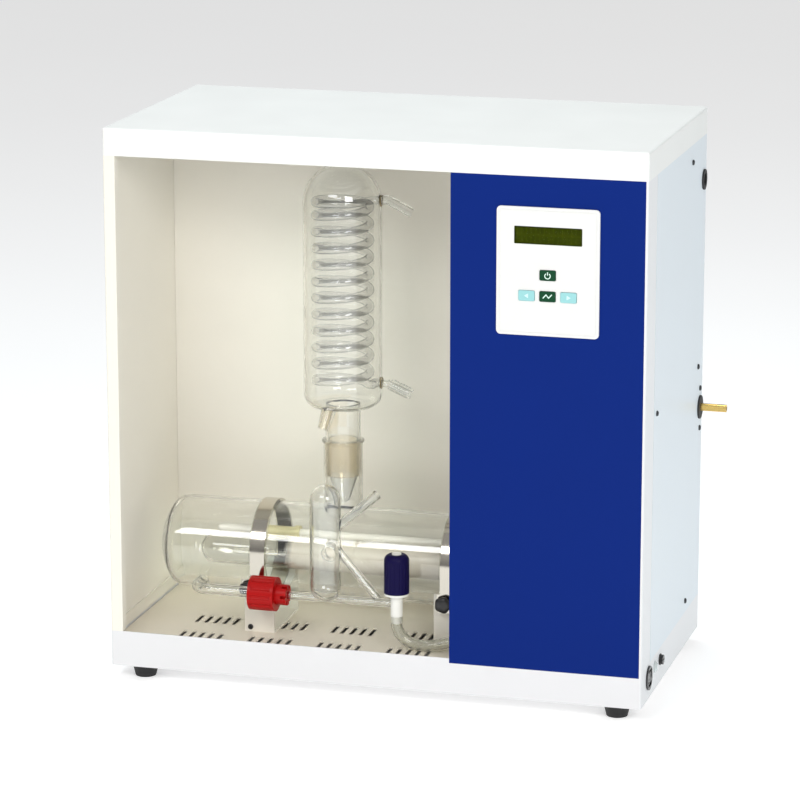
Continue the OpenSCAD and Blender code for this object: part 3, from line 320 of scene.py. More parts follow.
# %% Metals
def brushed_metal(name, tint, rough, stretch=(1, 1, 1), grain=0.25, depth=0.01):
    """Metal with a grain of fine lines, drawn out by stretch."""
    f = Finish(name)
    lines = f.noise(grain, detail=3, stretch=stretch)
    smudge = f.noise(9, detail=2)
    return f.finish(f.shader(
        Base_Color=f.blend(lines, shade(tint, 0.86), shade(tint, 1.08)),
        Metallic=1.0,
        Roughness=rough + (lines - 0.5) * 0.16 + (smudge - 0.5) * 0.1,
        Normal=f.relief(lines, depth, 0.5),
    ))


steel = brushed_metal(
    "brushed_stainless", colour(206, 200, 188), 0.12, stretch=(0.6, 14, 14), depth=0.004,
)
zinc = brushed_metal("zinc_plate", colour(196, 198, 200), 0.32)
aluminium = brushed_metal("milled_aluminium", colour(196, 197, 198), 0.36, stretch=(12, 1, 1))
brass = brushed_metal("turned_brass", colour(236, 200, 120), 0.26, stretch=(0.5, 20, 20))
black_screw = powder_coat("black_screw_finish", colour(34, 34, 37), gloss=0.45)

# %% [markdown]
# Moulded plastics and rubber have a fine spark-eroded texture. One function makes them all, and
# the size of the grain and the shine tell a glossy key from a rubber foot.

# %% Plastics and rubber
def moulded(name, tint, rough, grain=0.35, depth=0.012, variation=0.05, coat=0.0,
            specular=0.5):
    """Moulded plastic or rubber. variation is how far its colour drifts, as a share."""
    f = Finish(name)
    fine = f.noise(grain, detail=2)
    slow = f.noise(14, detail=3)
    return f.finish(f.shader(
        Base_Color=f.blend(slow, shade(tint, 1 - variation), shade(tint, 1 + variation)),
        Roughness=rough + (slow - 0.5) * 0.1,
        Specular_IOR_Level=specular,
        Coat_Weight=coat,
        Coat_Roughness=0.12,
        Normal=f.relief(fine, depth, 0.6),
    ))


panel_plastic = moulded("panel_plastic", colour(230, 230, 228), 0.34, variation=0.012)
black_plastic = moulded("black_plastic", colour(22, 22, 24), 0.34, coat=0.3)
rubber = moulded("black_rubber", colour(26, 26, 27), 0.62, grain=0.6, depth=0.03, variation=0.12)
red_plastic = moulded("red_cap_plastic", colour(172, 10, 10), 0.36, depth=0.02, specular=0.2)
navy_plastic = moulded("navy_knob_plastic", colour(13, 6, 60), 0.38, depth=0.02, specular=0.12)
green_key = moulded("dark_green_key", colour(6, 66, 38), 0.34, variation=0.08, specular=0.2)
aqua_key = moulded("pale_aqua_key", colour(150, 208, 210), 0.38, variation=0.03)
key_symbol = moulded("key_symbol_print", colour(214, 240, 228), 0.5, variation=0.03)
aqua_symbol = moulded("aqua_symbol_print", colour(206, 236, 240), 0.5, variation=0.03)
fluoroplastic = moulded(
    "waxy_fluoroplastic", colour(242, 242, 236), 0.48, grain=0.8, variation=0.02,
)
silicone = moulded("cream_silicone", colour(226, 216, 186), 0.5, grain=0.8, variation=0.04)
seal_brown = moulded("fused_ring_brown", colour(120, 104, 64), 0.4, grain=0.8, variation=0.1)
pale_seal_rubber = moulded(
    "pale_seal_rubber", colour(226, 216, 168), 0.5, grain=0.8, variation=0.08,
)
circuit_green = moulded(
    "circuit_board", colour(28, 92, 54), 0.4, grain=1.2, depth=0.02, variation=0.2,
)
lamp_lens = moulded("lamp_lens", colour(196, 204, 204), 0.12, coat=0.6)

# %% [markdown]
# The display is a liquid crystal glass over a dark olive reflector. Unlit character cells show as
# slightly darker small squares, two rows of them.

# %% Display glass
COLUMNS = 16
ROWS = 2
CELL_EDGE = 0.12


def liquid_crystal(name, low, high):
    """Olive glass with rows of faint character cells."""
    f = Finish(name)
    across = (f.part_of("X") - low.x) * (COLUMNS / (high.x - low.x))
    up = (f.part_of("Z") - low.z) * (ROWS / (high.z - low.z))
    cell_x = f.node("ShaderNodeMath", {"operation": "FRACT"}, {0: across})
    cell_z = f.node("ShaderNodeMath", {"operation": "FRACT"}, {0: up})
    inside = (
        (cell_x > CELL_EDGE) * (cell_x < 1 - CELL_EDGE)
        * (cell_z > CELL_EDGE) * (cell_z < 1 - CELL_EDGE)
    )
    mottled = f.noise(5, detail=2)
    lit = f.blend(mottled, colour(44, 54, 2), colour(70, 76, 4))
    return f.finish(f.shader(
        Base_Color=f.blend(inside * 0.35, lit, colour(30, 38, 2)),
        Roughness=0.3 + inside * 0.08,
        Specular_IOR_Level=0.1,
    ))


window_low, window_high = span("display_window")
crystal = liquid_crystal("liquid_crystal", window_low, window_high)
print("display cells over", round(window_high.x - window_low.x, 1), "mm")

# %% [markdown]
# Laboratory glass is clear borosilicate, 1.5 to 3 mm thick. Drawn tube is never quite even, so a
# long, very gentle noise bends what is seen through it. Ray tracers darken what stands behind
# glass, because lamps don't shine through it, so the rays that look for lamps meet a clear
# shader instead. A ground joint is the same glass with a rough, matt surface, between two heights.
# Thin walls with wet or dusty faces bend light less than a perfect solid does, so the index is
# set lower than the book's 1.47 and a clear coat keeps the sharp marks of the lamps.

# %% Glass
GROUND_TINT = (0.965, 0.935, 0.865, 1)


def lamp_rays(f, glass, clear=(0.93, 0.95, 0.94, 1)):
    """The glass for the eye, and a clear film for rays that look for a lamp."""
    looks_for_lamp = f.node("ShaderNodeLightPath", output="Is Shadow Ray")
    film = f.node("ShaderNodeBsdfTransparent", inputs={"Color": clear})
    return f.node("ShaderNodeMixShader", inputs={0: looks_for_lamp, 1: glass, 2: film})


def clear_glass(name, ground=(), stretch=(6, 6, 6), depth=0.05, tint=(0.99, 0.995, 0.985, 1),
                bend=1.3, gloss=0.8, mark=1.5):
    """Clear glass. ground lists the matt zones, each from one height to another and left of a
    last number, in millimetres. bend is its refractive index, gloss its outer shine and mark the
    index of that shine: a higher one gives brighter lamp marks."""
    f = Finish(name)
    waves = f.noise(3.0, detail=1, stretch=stretch)
    rough = (waves - 0.5) * 0.01 + 0.004
    matt = 0
    for low, high, right in ground:
        height = f.part_of("Z")
        matt = (height > low) * (height < high) * (f.part_of("X") < right) + matt
    if ground:
        rough = rough + matt * 0.2
        tint = f.blend(matt, tint, GROUND_TINT)
    glass = f.shader(
        Base_Color=tint,
        Roughness=rough,
        IOR=bend,
        Transmission_Weight=1.0,
        Coat_Weight=gloss,
        Coat_IOR=mark,
        Coat_Roughness=0.03,
        Normal=f.relief(waves, depth, 0.3),
    )
    return f.finish(lamp_rays(f, glass))


JOINT_LENGTH = 35
OUTLET_FROM = 8
OUTLET_TO = 36
OUTLET_RIGHT = 203
cone_high = span("boiler")[1].z
cone_low = cone_high - JOINT_LENGTH
joint_zone = (cone_low, cone_high, case_size.x)
outlet_zone = (cone_high + OUTLET_FROM, cone_high + OUTLET_TO, OUTLET_RIGHT)
boiler_glass = clear_glass("boiler_glass", [joint_zone], stretch=(12, 3, 3))
condenser_glass = clear_glass("condenser_glass", [joint_zone, outlet_zone], stretch=(3, 3, 12))
liner_vinyl = clear_glass("liner_vinyl", tint=(0.97, 0.95, 0.86, 1), depth=0.02)
tube_glass = clear_glass("tube_glass", stretch=(4, 4, 4))
coil_glass = clear_glass(
    "coil_glass", stretch=(4, 4, 4), tint=(1, 1, 1, 1), depth=0.0, bend=1.06, gloss=0.35, mark=2.2,
)
window_glass = clear_glass(
    "window_plastic", depth=0.01, tint=(0.8, 0.83, 0.6, 1), bend=1.05, gloss=0.0,
)
print("ground joint from", round(cone_low), "to", round(cone_high), "mm")

# %% [markdown]
# Quartz for heaters is milky from tiny bubbles drawn into lines. Here the tube is clear at its
# closed end and milky from where the element starts, and the noise of the bubbles makes the change
# uneven. The sensor rod is plain ceramic, and the hose is soft vinyl, clear with a whitish cast.

# %% Quartz, ceramic and hose
def milky(name, tint, clear, rough, stretch=(10, 1, 1)):
    """Cloudy ceramic or vinyl. clear is the share of light that goes through."""
    f = Finish(name)
    bubbles = f.noise(0.8, detail=3, stretch=stretch)
    body = f.shader(
        Base_Color=f.blend(bubbles, shade(tint, 0.93), shade(tint, 1.03)),
        Roughness=rough + (bubbles - 0.5) * 0.2,
        IOR=1.45,
        Transmission_Weight=clear,
        Normal=f.relief(bubbles, 0.02, 0.4),
    )
    return f.finish(lamp_rays(f, body, clear=(0.5, 0.5, 0.48, 1)) if clear > 0 else body)


def heater_quartz(name, tint, clear_end, soft=8):
    """Quartz that is clear up to a place along X and milky beyond. soft is how far the change
    between them wanders, in millimetres."""
    f = Finish(name)
    bubbles = f.noise(0.8, detail=3, stretch=(10, 1, 1))
    body = f.shader(
        Base_Color=f.blend(bubbles, shade(tint, 0.93), shade(tint, 1.03)),
        Roughness=0.34 + (bubbles - 0.5) * 0.2,
        Normal=f.relief(bubbles, 0.02, 0.4),
    )
    glass = f.shader(
        Base_Color=(0.985, 0.98, 0.95, 1),
        Roughness=(bubbles - 0.5) * 0.06 + 0.05,
        IOR=1.15,
        Transmission_Weight=1.0,
        Coat_Weight=0.8,
    )
    frosted = f.node(
        "ShaderNodeMath", {"operation": "MULTIPLY", "use_clamp": True},
        {0: f.part_of("X") - clear_end + bubbles * soft, 1: 1 / soft},
    )
    return f.finish(f.node(
        "ShaderNodeMixShader", inputs={0: frosted, 1: lamp_rays(f, glass), 2: body},
    ))


ELEMENT_START = 152
quartz = heater_quartz("milky_quartz", colour(208, 200, 184), ELEMENT_START)
ceramic = milky("rod_ceramic", colour(240, 236, 224), clear=0.0, rough=0.42)
vinyl = milky("hose_vinyl", colour(240, 240, 232), clear=0.9, rough=0.1, stretch=(1, 1, 1))
print("heater is milky from", ELEMENT_START, "mm")

# %% [markdown]
# ## Finishes on the engineering parts
#
# Many parts are already the right shape. Each keeps its mesh, and only its material slot changes.

# %% Give the parts their finishes
plain_parts = {
    white_coat: ("base_frame", "back_panel", "corner_post"),
    lid_coat: ("lid",),
    side_coat_painted_cool_light: ("side_cover",),
    wall_coat: ("left_wall",),
    cream_coat: ("bay_back", "partition", "clamp_stands"),
    floor_coat: ("floor_plate",),
    blue_coat: ("front_panel",),
    steel: ("clamp_straps", "left_stud", "right_stud"),
    zinc: ("foot_screws", "board_posts"),
    aluminium: ("heater_relay",),
    brass: ("inlet_nozzle", "inlet_valve"),
    black_screw: ("case_screws", "stand_screws"),
    panel_plastic: ("control_bezel",),
    black_plastic: (
        "switch_body", "switch_rocker", "fuse_holder", "fuse_cap", "cable_gland", "gland_nut",
        "valve_coil",
    ),
    rubber: ("feet", "nozzle_ring", "hose_grommet", "hose_fitting"),
    red_plastic: ("coupling_nut",),
    navy_plastic: ("valve_knob",),
    green_key: ("power_key", "select_key"),
    aqua_key: ("left_key", "right_key"),
    fluoroplastic: ("valve_spindle", "valve_barrel"),
    silicone: ("heater_plug", "coupling_seal"),
    liner_vinyl: ("clamp_liners",),
    pale_seal_rubber: ("sensor_sleeve",),
    circuit_green: ("control_board", "power_board"),
    lamp_lens: ("pilot_lamp",),
    crystal: ("display_module",),
    window_glass: ("display_window",),
    condenser_glass: ("condenser",),
    tube_glass: ("level_vessel", "drain_tube"),
    quartz: ("heater_tube",),
    ceramic: ("sensor_rod",),
}
for finish, nodes in plain_parts.items():
    for node in nodes:
        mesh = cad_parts[node].data
        mesh.materials.clear()
        mesh.materials.append(finish)
print("finished parts:", sum(len(nodes) for nodes in plain_parts.values()))

# %% [markdown]
# ## Tools for new pieces
#
# Glass is blown and drawn, so nearly every new piece is either turned on an axis or swept along a
# line. `turned` spins a closed outline round an axis. `swept` pushes a ring along a path, and
# with a bore it makes a real tube with a wall, which is what bends light at its edges.

# %% Turned and swept shapes
def turned(bm, outline, base, axis=(0, 0, 1), steps=96, lobes=0, lobe_depth=0.0):
    """Spins a closed outline of (radius, distance along the axis) points, all in millimetres."""
    turn = Vector((0, 0, 1)).rotation_difference(Vector(axis)).to_matrix()
    rings = []
    for radius, along in outline:
        count = steps if radius > 0 else 1
        ring = []
        for k in range(count):
            angle = math.tau * k / steps
            r = radius * (1 + lobe_depth * math.cos(lobes * angle))
            offset = turn @ Vector((r * math.cos(angle), r * math.sin(angle), along))
            ring.append(bm.verts.new(at(*(Vector(base) + offset))))
        rings.append(ring)
    for one, two in zip(rings, rings[1:] + rings[:1]):
        for k in range(steps):
            n = k + 1
            loop = (one[k % len(one)], one[n % len(one)], two[n % len(two)], two[k % len(two)])
            corners = list(dict.fromkeys(loop))
            if len(corners) > 2:
                bm.faces.new(corners)


def swept(bm, path, radius, bore=0.0, sides=16):
    """Pushes a round ring along a path. radius is one number, or one for each point."""
    points = [Vector(p) for p in path]
    radii = radius if isinstance(radius, list) else [radius] * len(points)
    last = len(points) - 1
    tangents = [
        (points[min(i + 1, last)] - points[max(i - 1, 0)]).normalized() for i in range(last + 1)
    ]
    side = tangents[0].orthogonal().normalized()
    skins = [[], []]
    for i, point in enumerate(points):
        side = (side - tangents[i] * side.dot(tangents[i])).normalized()
        across = tangents[i].cross(side)
        for skin, r in zip(skins, (radii[i], bore)):
            if r > 0:
                skin.append([
                    bm.verts.new(at(*(point + (side * math.cos(a) + across * math.sin(a)) * r)))
                    for a in (math.tau * k / sides for k in range(sides))
                ])
    for skin in skins:
        for one, two in zip(skin, skin[1:]):
            for k in range(sides):
                n = (k + 1) % sides
                bm.faces.new((one[k], one[n], two[n], two[k]))
    for end in (0, -1):
        if bore > 0:
            for k in range(sides):
                n = (k + 1) % sides
                outer, inner = skins[0][end], skins[1][end]
                bm.faces.new((outer[k], outer[n], inner[n], inner[k]))
        else:
            bm.faces.new(skins[0][end])


def arc(centre, radius, start, end, steps):
    """Points on an arc in the plane of an outline, angles in degrees."""
    angles = (math.radians(start + (end - start) * k / steps) for k in range(steps + 1))
    return [(centre[0] + radius * math.cos(a), centre[1] + radius * math.sin(a)) for a in angles]


# %% From a shape to a piece of the still
SHARP = math.radians(35)
WELD = 1e-6


def smooth_mesh(name, bm):
    """A mesh with smooth faces and crisp edges where faces meet at more than 35 degrees."""
    bmesh.ops.recalc_face_normals(bm, faces=bm.faces)
    for face in bm.faces:
        face.smooth = True
    for edge in bm.edges:
        edge.smooth = len(edge.link_faces) < 2 or edge.calc_face_angle(0) < SHARP
    mesh = bpy.data.meshes.new(name)
    bm.to_mesh(mesh)
    bm.free()
    return mesh


def piece(name, shape, finish, body, stands_for=()):
    """Puts a finished piece on its body. Its shape is a mesh, or one that is still being made."""
    mesh = shape if isinstance(shape, bpy.types.Mesh) else smooth_mesh(name, shape)
    made = bpy.data.objects.new(name, mesh)
    bpy.context.collection.objects.link(made)
    mesh.materials.append(finish)
    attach(made, body)
    if stands_for:
        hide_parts(*stands_for)
    print(name, len(mesh.vertices), "points")
    return made


def carved(name, solids, hollows):
    """One mesh from solid meshes joined together, less the hollow ones."""
    parts = []
    for mesh in solids + hollows:
        part = bpy.data.objects.new(name, mesh)
        bpy.context.collection.objects.link(part)
        parts.append(part)
    for k, part in enumerate(parts[1:], 1):
        step = parts[0].modifiers.new("carve", "BOOLEAN")
        step.operation = "UNION" if k < len(solids) else "DIFFERENCE"
        step.solver = "EXACT"
        step.object = part
    ready = parts[0].evaluated_get(bpy.context.evaluated_depsgraph_get())
    bm = bmesh.new()
    bm.from_mesh(ready.to_mesh())
    for part in parts:
        bpy.data.objects.remove(part)
    bmesh.ops.remove_doubles(bm, verts=bm.verts, dist=WELD)
    return smooth_mesh(name, bm)


def turned_mesh(*args, **options):
    """A turned shape as a mesh of its own, for carving."""
    bm = bmesh.new()
    turned(bm, *args, **options)
    return smooth_mesh("turned", bm)


print("edges stay crisp over", round(math.degrees(SHARP)), "degrees")

# %% [markdown]
# ## Drain hose
#
# A soft clear hose is pushed over the outlet under the needle valve. It hangs down, turns along
# the bay floor and goes through the inner wall. Its route is a short list of points, as a fitter
# would lay it, and a spline rounds them off. It is made before the other new pieces, because a hose
# that doesn't fit would change the frame itself.

# %% Drain hose
HOSE_R = 5.5
HOSE_WALL = 1.5
ROUTE = [
    (275.3, 35, 62), (275.3, 35, 58), (275.3, 35, 54), (276, 35, 49), (278, 35, 44.5),
    (281, 35.5, 40.5), (285, 36, 37), (290, 37, 34.5), (296, 38, 33), (303, 39, 32.5),
    (310, 40, 33), (317, 41, 34.5), (324, 41.5, 36.5), (331, 42, 38), (338, 42, 38.5),
    (346, 42, 38.5),
]


def rounded(points, steps=4):
    """More points on a Catmull-Rom curve through the points."""
    p = [Vector(v) for v in points]
    p = [p[0] * 2 - p[1]] + p + [p[-1] * 2 - p[-2]]
    line = []
    for a, b, c, d in zip(p, p[1:], p[2:], p[3:]):
        for k in range(steps):
            t = k / steps
            line.append(0.5 * (2 * b + (c - a) * t + (2 * a - 5 * b + 4 * c - d) * t * t
                               + (3 * b - a - 3 * c + d) * t ** 3))
    return line + [p[-2]]


hose_line = rounded(ROUTE)
bm = bmesh.new()
swept(bm, hose_line, HOSE_R, bore=HOSE_R - HOSE_WALL, sides=32)
hose = piece("drain_hose_tube", bm, vinyl, "case", ["drain_hose"])

# %% [markdown]
# ## Boiler
#
# The boiler is a wide glass tube that lies on its side. Its closed end was pressed while hot, so
# it has a flat crown and a tight round knuckle, and the wall follows both. A riser with a ground
# socket is fused on top. The outside and the inside are each turned and joined on their own, and
# the inside is then carved out of the outside, which leaves one even wall everywhere. The same
# carving drills the two ports in front, for the drain and for the level vessel.

# %% Boiler
boiler_low, boiler_high = span("boiler")
BOILER_R = (boiler_high.y - boiler_low.y) / 2
BOILER_WALL = 3
KNUCKLE = 14
DOME = 24
CROWN = 67.05
ALONG_STEPS = 24
boiler_mid = Vector((boiler_low.x, middle("boiler").y, boiler_low.z + BOILER_R))
boiler_length = boiler_high.x - boiler_low.x
riser_x = middle("condenser_coil").x
flat_angle = math.degrees(math.atan2(CROWN - DOME, BOILER_R - KNUCKLE))


def boiler_outline(inset, length):
    """The boiler's outline from the tip of its closed end to the axis at its open end."""
    crown = arc((0, CROWN), CROWN - inset, -90, -flat_angle, 12)
    crown[0] = (0, crown[0][1])
    knuckle = arc((BOILER_R - KNUCKLE, DOME), KNUCKLE - inset, -flat_angle, 0, 10)
    stations = [
        (BOILER_R - inset, DOME + (length - DOME) * k / ALONG_STEPS)
        for k in range(1, ALONG_STEPS + 1)
    ]
    return crown + knuckle[1:] + stations + [(0, length)]


print("boiler:", round(2 * BOILER_R), "mm across and", round(boiler_length), "mm long")

# %% Riser with its socket
CONE_TOP = 17.25
CONE_BOTTOM = 15.5
RISER_R = CONE_BOTTOM + 3.4
RISER_BORE = CONE_BOTTOM - 0.1
RISER_FROM = 10
NECK = 5
LIP = 1.4
LIP_OUT = 1.9
riser_base = (riser_x, boiler_mid.y, boiler_mid.z)
riser_up = cone_high - boiler_mid.z
riser_outside = (
    [(0, RISER_FROM), (RISER_R, RISER_FROM), (RISER_R, riser_up - NECK)]
    + arc((CONE_TOP + LIP_OUT, riser_up - LIP), LIP, -60, 90, 6) + [(0, riser_up)]
)
riser_inside = [
    (0, 0), (RISER_BORE, 0), (RISER_BORE, riser_up - JOINT_LENGTH),
    (CONE_TOP, riser_up), (CONE_TOP, riser_up + 1), (0, riser_up + 1),
]
print("riser:", round(riser_up), "mm above the boiler's axis")

# %% Ports, and the boiler carved
PORT_START = 15
PORT_DEPTH = 60
DRAIN_PORT_R = 3.75
VESSEL_PORT_R = 6.5
DRAIN_ALONG = 50
DRAIN_DOWN = 28.5
VESSEL_ALONG = 1
VESSEL_UP = 12
vessel_low = span("level_vessel")[0]
port_y = vessel_low.y + PORT_START
drain_port = (boiler_low.x + DRAIN_ALONG, port_y, boiler_mid.z - DRAIN_DOWN)
vessel_port = (riser_x + VESSEL_ALONG, port_y, boiler_mid.z + VESSEL_UP)


def drill(radius, port, steps):
    """A round bar through a port, for carving."""
    outline = [(0, 0), (radius, 0), (radius, PORT_DEPTH), (0, PORT_DEPTH)]
    return turned_mesh(outline, port, (0, 1, 0), steps)


boiler_mesh = carved(
    "boiler_glass",
    [
        turned_mesh(boiler_outline(0, boiler_length), boiler_mid, (1, 0, 0), 128),
        turned_mesh(riser_outside, riser_base),
    ],
    [
        turned_mesh(boiler_outline(BOILER_WALL, boiler_length + 1), boiler_mid, (1, 0, 0), 128),
        turned_mesh(riser_inside, riser_base),
        drill(DRAIN_PORT_R, drain_port, 32),
        drill(VESSEL_PORT_R, vessel_port, 48),
    ],
)
piece("boiler_glass", boiler_mesh, boiler_glass, "case", ["boiler"])

# %% [markdown]
# ## Cooling coil
#
# Cooling water runs in a thin glass tube that is wound into a coil inside the jacket. The coil is
# one helix worked out by a formula. Its first and last turn bend out to the two hose nipples.
# The tube has a real bore, so each turn shows two fine lines, not the heavy lens of a rod. It is
# shown with a low index, as when it is full of water, and a strong shine for the lamps' marks.

# %% Cooling coil
coil_low, coil_high = span("condenser_coil")
COIL_TUBE = 4.5
COIL_PITCH = 16
STEPS_PER_TURN = 32
coil_r = (coil_high.x - coil_low.x) / 2 - COIL_TUBE
riser_axis = Vector((coil_low.x + coil_r + COIL_TUBE, boiler_mid.y, 0))
coil_start = coil_low.z + COIL_TUBE
JACKET_R = 37.75
COIL_CLEAR = 0.2
COIL_WALL = 0.9
LOWER_NIPPLE_UP = 7.5
UPPER_NIPPLE_UP = 5.5
RUN_OUT_TURN = 0.68
RUN_OUT_RISE = 5.2
RUN_OUT_STEPS = 20


def coil_point(turns, height):
    """A point on the coil's middle line after this many turns."""
    angle = math.tau * turns
    return riser_axis + Vector((coil_r * math.cos(angle), coil_r * math.sin(angle), height))


def leg(base, points):
    """The points of a leg to a nipple: inwards from the jacket, across, and up from a base."""
    return [riser_axis + Vector((JACKET_R - x, y, base + z)) for x, y, z in points]


coil_turns = (coil_high.z - COIL_TUBE - coil_start) / COIL_PITCH
winding_end = coil_start + COIL_PITCH * coil_turns
first_leg = leg(coil_start, [(2.5, 0, LOWER_NIPPLE_UP), (6, 0.3, 7.2), (9, 2, 5)])
winding = [
    coil_point(k / STEPS_PER_TURN, coil_start + COIL_PITCH * k / STEPS_PER_TURN)
    for k in range(3, round(coil_turns * STEPS_PER_TURN))
]
run_out = [
    coil_point(
        coil_turns + RUN_OUT_TURN * k / RUN_OUT_STEPS,
        winding_end + RUN_OUT_RISE * k / RUN_OUT_STEPS,
    )
    for k in range(RUN_OUT_STEPS + 1)
]
last_leg = leg(winding_end, [(9, -2.5, 5.3), (6, -0.4, UPPER_NIPPLE_UP), (2.5, 0, UPPER_NIPPLE_UP)])
tube_r = COIL_TUBE - COIL_CLEAR
bm = bmesh.new()
swept(bm, first_leg + winding + run_out + last_leg, tube_r, bore=tube_r - COIL_WALL, sides=20)
piece("cooling_coil", bm, coil_glass, "condenser", ["condenser_coil"])

# %% [markdown]
# Where each nipple is fused to the jacket the glass keeps a thin brownish ring, and the lower
# nipple has a rough thread for a hose. Both are short sweeps: the thread is a sweep whose radius
# goes up and down along its line.

# %% Rings on the nipples
NIPPLE_R = 5.05
RING_R = 0.6
RING_GAP = 0.1
ring_outline = (
    [(NIPPLE_R, 0)] + arc((NIPPLE_R, RING_R), RING_R, -60, 60, 5) + [(NIPPLE_R, 2 * RING_R)]
)
for name, height in (
    ("upper_nipple_ring", winding_end + UPPER_NIPPLE_UP),
    ("lower_nipple_ring", coil_start + LOWER_NIPPLE_UP),
):
    bm = bmesh.new()
    ring_base = (riser_axis.x + JACKET_R + RING_GAP, riser_axis.y, height)
    turned(bm, ring_outline, ring_base, (1, 0, 0), 40)
    piece(name, bm, seal_brown, "condenser")

# %% Thread on the lower nipple
THREAD_ROOT = 5.45
THREAD_RIDGE = 0.5
THREAD_BORE = 5.28
THREAD_TURNS = 6
POINTS_A_TURN = 4
THREAD_NEAR = (11, 0, 6)
THREAD_FAR = (27.5, 0, -0.8)
nipple_root = riser_axis + Vector((JACKET_R, 0, coil_start))
thread_from = nipple_root + Vector(THREAD_NEAR)
thread_to = nipple_root + Vector(THREAD_FAR)
last_point = POINTS_A_TURN * THREAD_TURNS
thread_line = [thread_from.lerp(thread_to, k / last_point) for k in range(last_point + 1)]
thread_radii = [
    THREAD_ROOT + (THREAD_RIDGE if k % POINTS_A_TURN == 2 else 0.0) for k in range(last_point + 1)
]
bm = bmesh.new()
swept(bm, thread_line, thread_radii, bore=THREAD_BORE, sides=28)
piece("nipple_thread", bm, tube_glass, "condenser")

# %% [markdown]
# ## Clamp knobs
#
# The straps are pulled tight by small black knobs with five soft lobes, moulded round a steel
# stud. The lobes are a cosine in the turned radius, so they blend into the round front. The rim
# is an arc that is scaled to the knob's radius and depth, which keeps it inside both.

# %% Clamp knobs
LOBES = 5
LOBE_DEPTH = 0.05
for side in ("left", "right"):
    knob_low, knob_high = span(side + "_knob")
    knob_r = (knob_high.x - knob_low.x) / 2
    depth = knob_high.y - knob_low.y
    knob_base = ((knob_low.x + knob_high.x) / 2, knob_high.y, (knob_low.z + knob_high.z) / 2)
    rim = [(knob_r * r, depth * along) for r, along in arc((0.52, 0.5), 0.43, -80, 80, 14)]
    outline = [(0, 0), (knob_r * 0.5, 0)] + rim + [(knob_r * 0.3, depth * 0.98), (0, depth)]
    bm = bmesh.new()
    turned(bm, outline, knob_base, (0, -1, 0), 80, lobes=LOBES, lobe_depth=LOBE_DEPTH)
    knob = side + "_knob"
    piece(side + "_clamp_knob", bm, black_plastic, knob, [knob])

# %% [markdown]
# ## Key symbols
#
# The two dark keys carry pale printed symbols: the common sign for power, an open ring with a
# stroke, and a zigzag for choosing a value. The pale keys have a small triangle each way. Every
# symbol is a thin raised print that rides on its key.

# %% Key symbols
PRINT = 0.08
BEDDED = 0.02


def flat_print(bm, outline, centre, front):
    """A thin plate with this outline of (x, z) points, on a key's front."""
    corners = [bm.verts.new(at(centre.x + x, front, centre.z + z)) for x, z in outline]
    face = bm.faces.new(corners)
    moved = bmesh.ops.extrude_face_region(bm, geom=[face])["geom"]
    for v in moved:
        if isinstance(v, bmesh.types.BMVert):
            v.co.y -= PRINT * MM


def symbol(key, outlines, finish):
    """A printed symbol of one or more outlines that rides on its key."""
    bm = bmesh.new()
    for outline in outlines:
        flat_print(bm, outline, middle(key), span(key)[0].y + BEDDED)
    piece(key + "_symbol", bm, finish, key)


open_ring = arc((0, -0.4), 3.0, 125, 415, 24) + arc((0, -0.4), 2.1, 415, 125, 24)
stroke = [(-0.45, 0.2), (0.45, 0.2), (0.45, 3.2), (-0.45, 3.2)]
zigzag = [
    (-4.6, -1.2), (-3.8, -1.9), (-1.2, 1.0), (1.2, -1.9),
    (4.6, 1.9), (3.8, 2.5), (1.2, -0.5), (-1.2, 2.5),
]
symbol("power_key", [open_ring, stroke], key_symbol)
symbol("select_key", [zigzag], key_symbol)
symbol("left_key", [[(1.6, -2.2), (1.6, 2.2), (-2.2, 0)]], aqua_symbol)
symbol("right_key", [[(-1.6, 2.2), (-1.6, -2.2), (2.2, 0)]], aqua_symbol)

# %% [markdown]
# ## Floor and light
#
# The still stands on a plain pale floor in a bright, even room. The sky is a soft grey that gets
# lighter upwards, so that steel and glass have something to reflect. Two soft boxes stand left
# and right of the viewer: they leave the pair of bright marks that glass tubes show, and the
# stronger right one reaches into the open bay. A cool lamp lights the side and one the lid.

# %% Floor
FLOOR_RADIUS = 14
FLOOR_GAP = 0.0002
FLOOR_GLOW = 0.36

floor_mesh = bpy.data.meshes.new("studio_floor")
floor_bm = bmesh.new()
bmesh.ops.create_circle(floor_bm, cap_ends=True, segments=96, radius=FLOOR_RADIUS)
floor_bm.to_mesh(floor_mesh)
floor_bm.free()
floor = bpy.data.objects.new("studio_floor", floor_mesh)
bpy.context.collection.objects.link(floor)
floor.location.z = cad_low.z - FLOOR_GAP
floor_finish = Finish("studio_floor")
floor_mesh.materials.append(floor_finish.finish(floor_finish.shader(
    Base_Color=floor_finish.blend(
        floor_finish.noise(400, detail=2), (0.86, 0.86, 0.86, 1), (0.88, 0.88, 0.88, 1)),
    Roughness=0.85,
    Specular_IOR_Level=0.1,
    Emission_Color=(1, 1, 1, 1),
    Emission_Strength=FLOOR_GLOW,
)))
print("floor at", round(floor.location.z, 4))

# %% Sky
SKY_STRENGTH = 0.43
HORIZON = (0.5, 0.5, 0.51, 1)
OVERHEAD = (1, 1, 1, 1)
OVERHEAD_FROM = 0.3

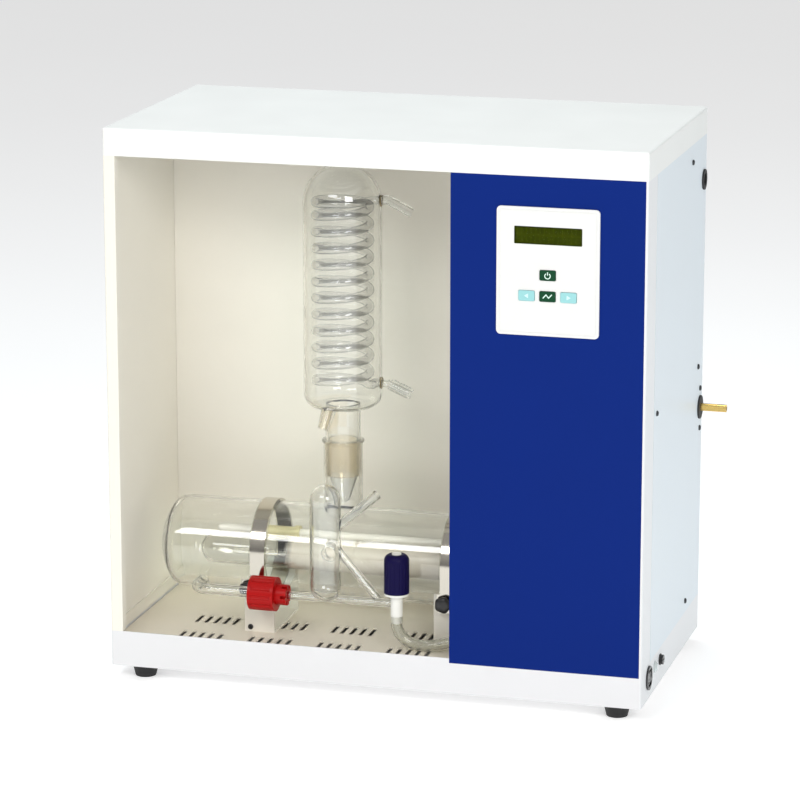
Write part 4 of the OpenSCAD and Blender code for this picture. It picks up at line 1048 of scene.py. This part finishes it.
world = bpy.data.worlds.new("soft_room")
bpy.context.scene.world = world
world.use_nodes = True
sky = world.node_tree
sky_place = sky.nodes.new("ShaderNodeTexCoord")
sky_height = sky.nodes.new("ShaderNodeSeparateXYZ")
sky_ramp = sky.nodes.new("ShaderNodeValToRGB")
low_stop, high_stop = sky_ramp.color_ramp.elements
low_stop.position, low_stop.color = 0.0, HORIZON
high_stop.position, high_stop.color = OVERHEAD_FROM, OVERHEAD
sky.links.new(sky_place.outputs["Generated"], sky_height.inputs[0])
sky.links.new(sky_height.outputs["Z"], sky_ramp.inputs[0])
sky.links.new(sky_ramp.outputs[0], sky.nodes["Background"].inputs["Color"])
sky.nodes["Background"].inputs["Strength"].default_value = SKY_STRENGTH
print("sky:", SKY_STRENGTH)


# %% Lamps
GLASS_MIDDLE = Vector((-0.07, -0.05, 0.3))


def lamp(name, place, target, width, height, watts, tint=(1, 1, 1)):
    """A soft box at a place, turned to a target, both in metres of the frame."""
    data = bpy.data.lights.new(name, "AREA")
    data.shape = "RECTANGLE"
    data.size = width
    data.size_y = height
    data.energy = watts
    data.color = tint
    made = bpy.data.objects.new(name, data)
    bpy.context.collection.objects.link(made)
    made.location = place
    made.rotation_mode = "QUATERNION"
    made.rotation_quaternion = (Vector(target) - Vector(place)).to_track_quat("-Z", "Y")


def soft_box(name, turn, rise, width, height, watts, tint=(1, 1, 1), away=2.7):
    """A lamp on a ball round the glass, by its direction in degrees."""
    t, r = math.radians(turn), math.radians(rise)
    place = Vector((math.sin(t) * math.cos(r), -math.cos(t) * math.cos(r), math.sin(r))) * away
    lamp(name, GLASS_MIDDLE + place, GLASS_MIDDLE, width, height, watts, tint)


soft_box("right_box", 36, 22, 1.0, 0.8, 24, (1, 0.985, 0.96))
soft_box("left_box", -15, 33, 1.1, 0.7, 17.5)
lamp("cool_fill", (2.2, 0.1, 0.12), (0.27, 0, 0.08), 1.0, 0.3, 3.5, (0.5, 0.82, 1))
lamp("top_lamp", (-0.2, 0.2, 2.4), (0, 0, 0.4), 1.2, 1.2, 24, (0.87, 0.96, 1))
bpy.context.scene.view_settings.view_transform = "Standard"
print("lamps:", len(bpy.data.lights))
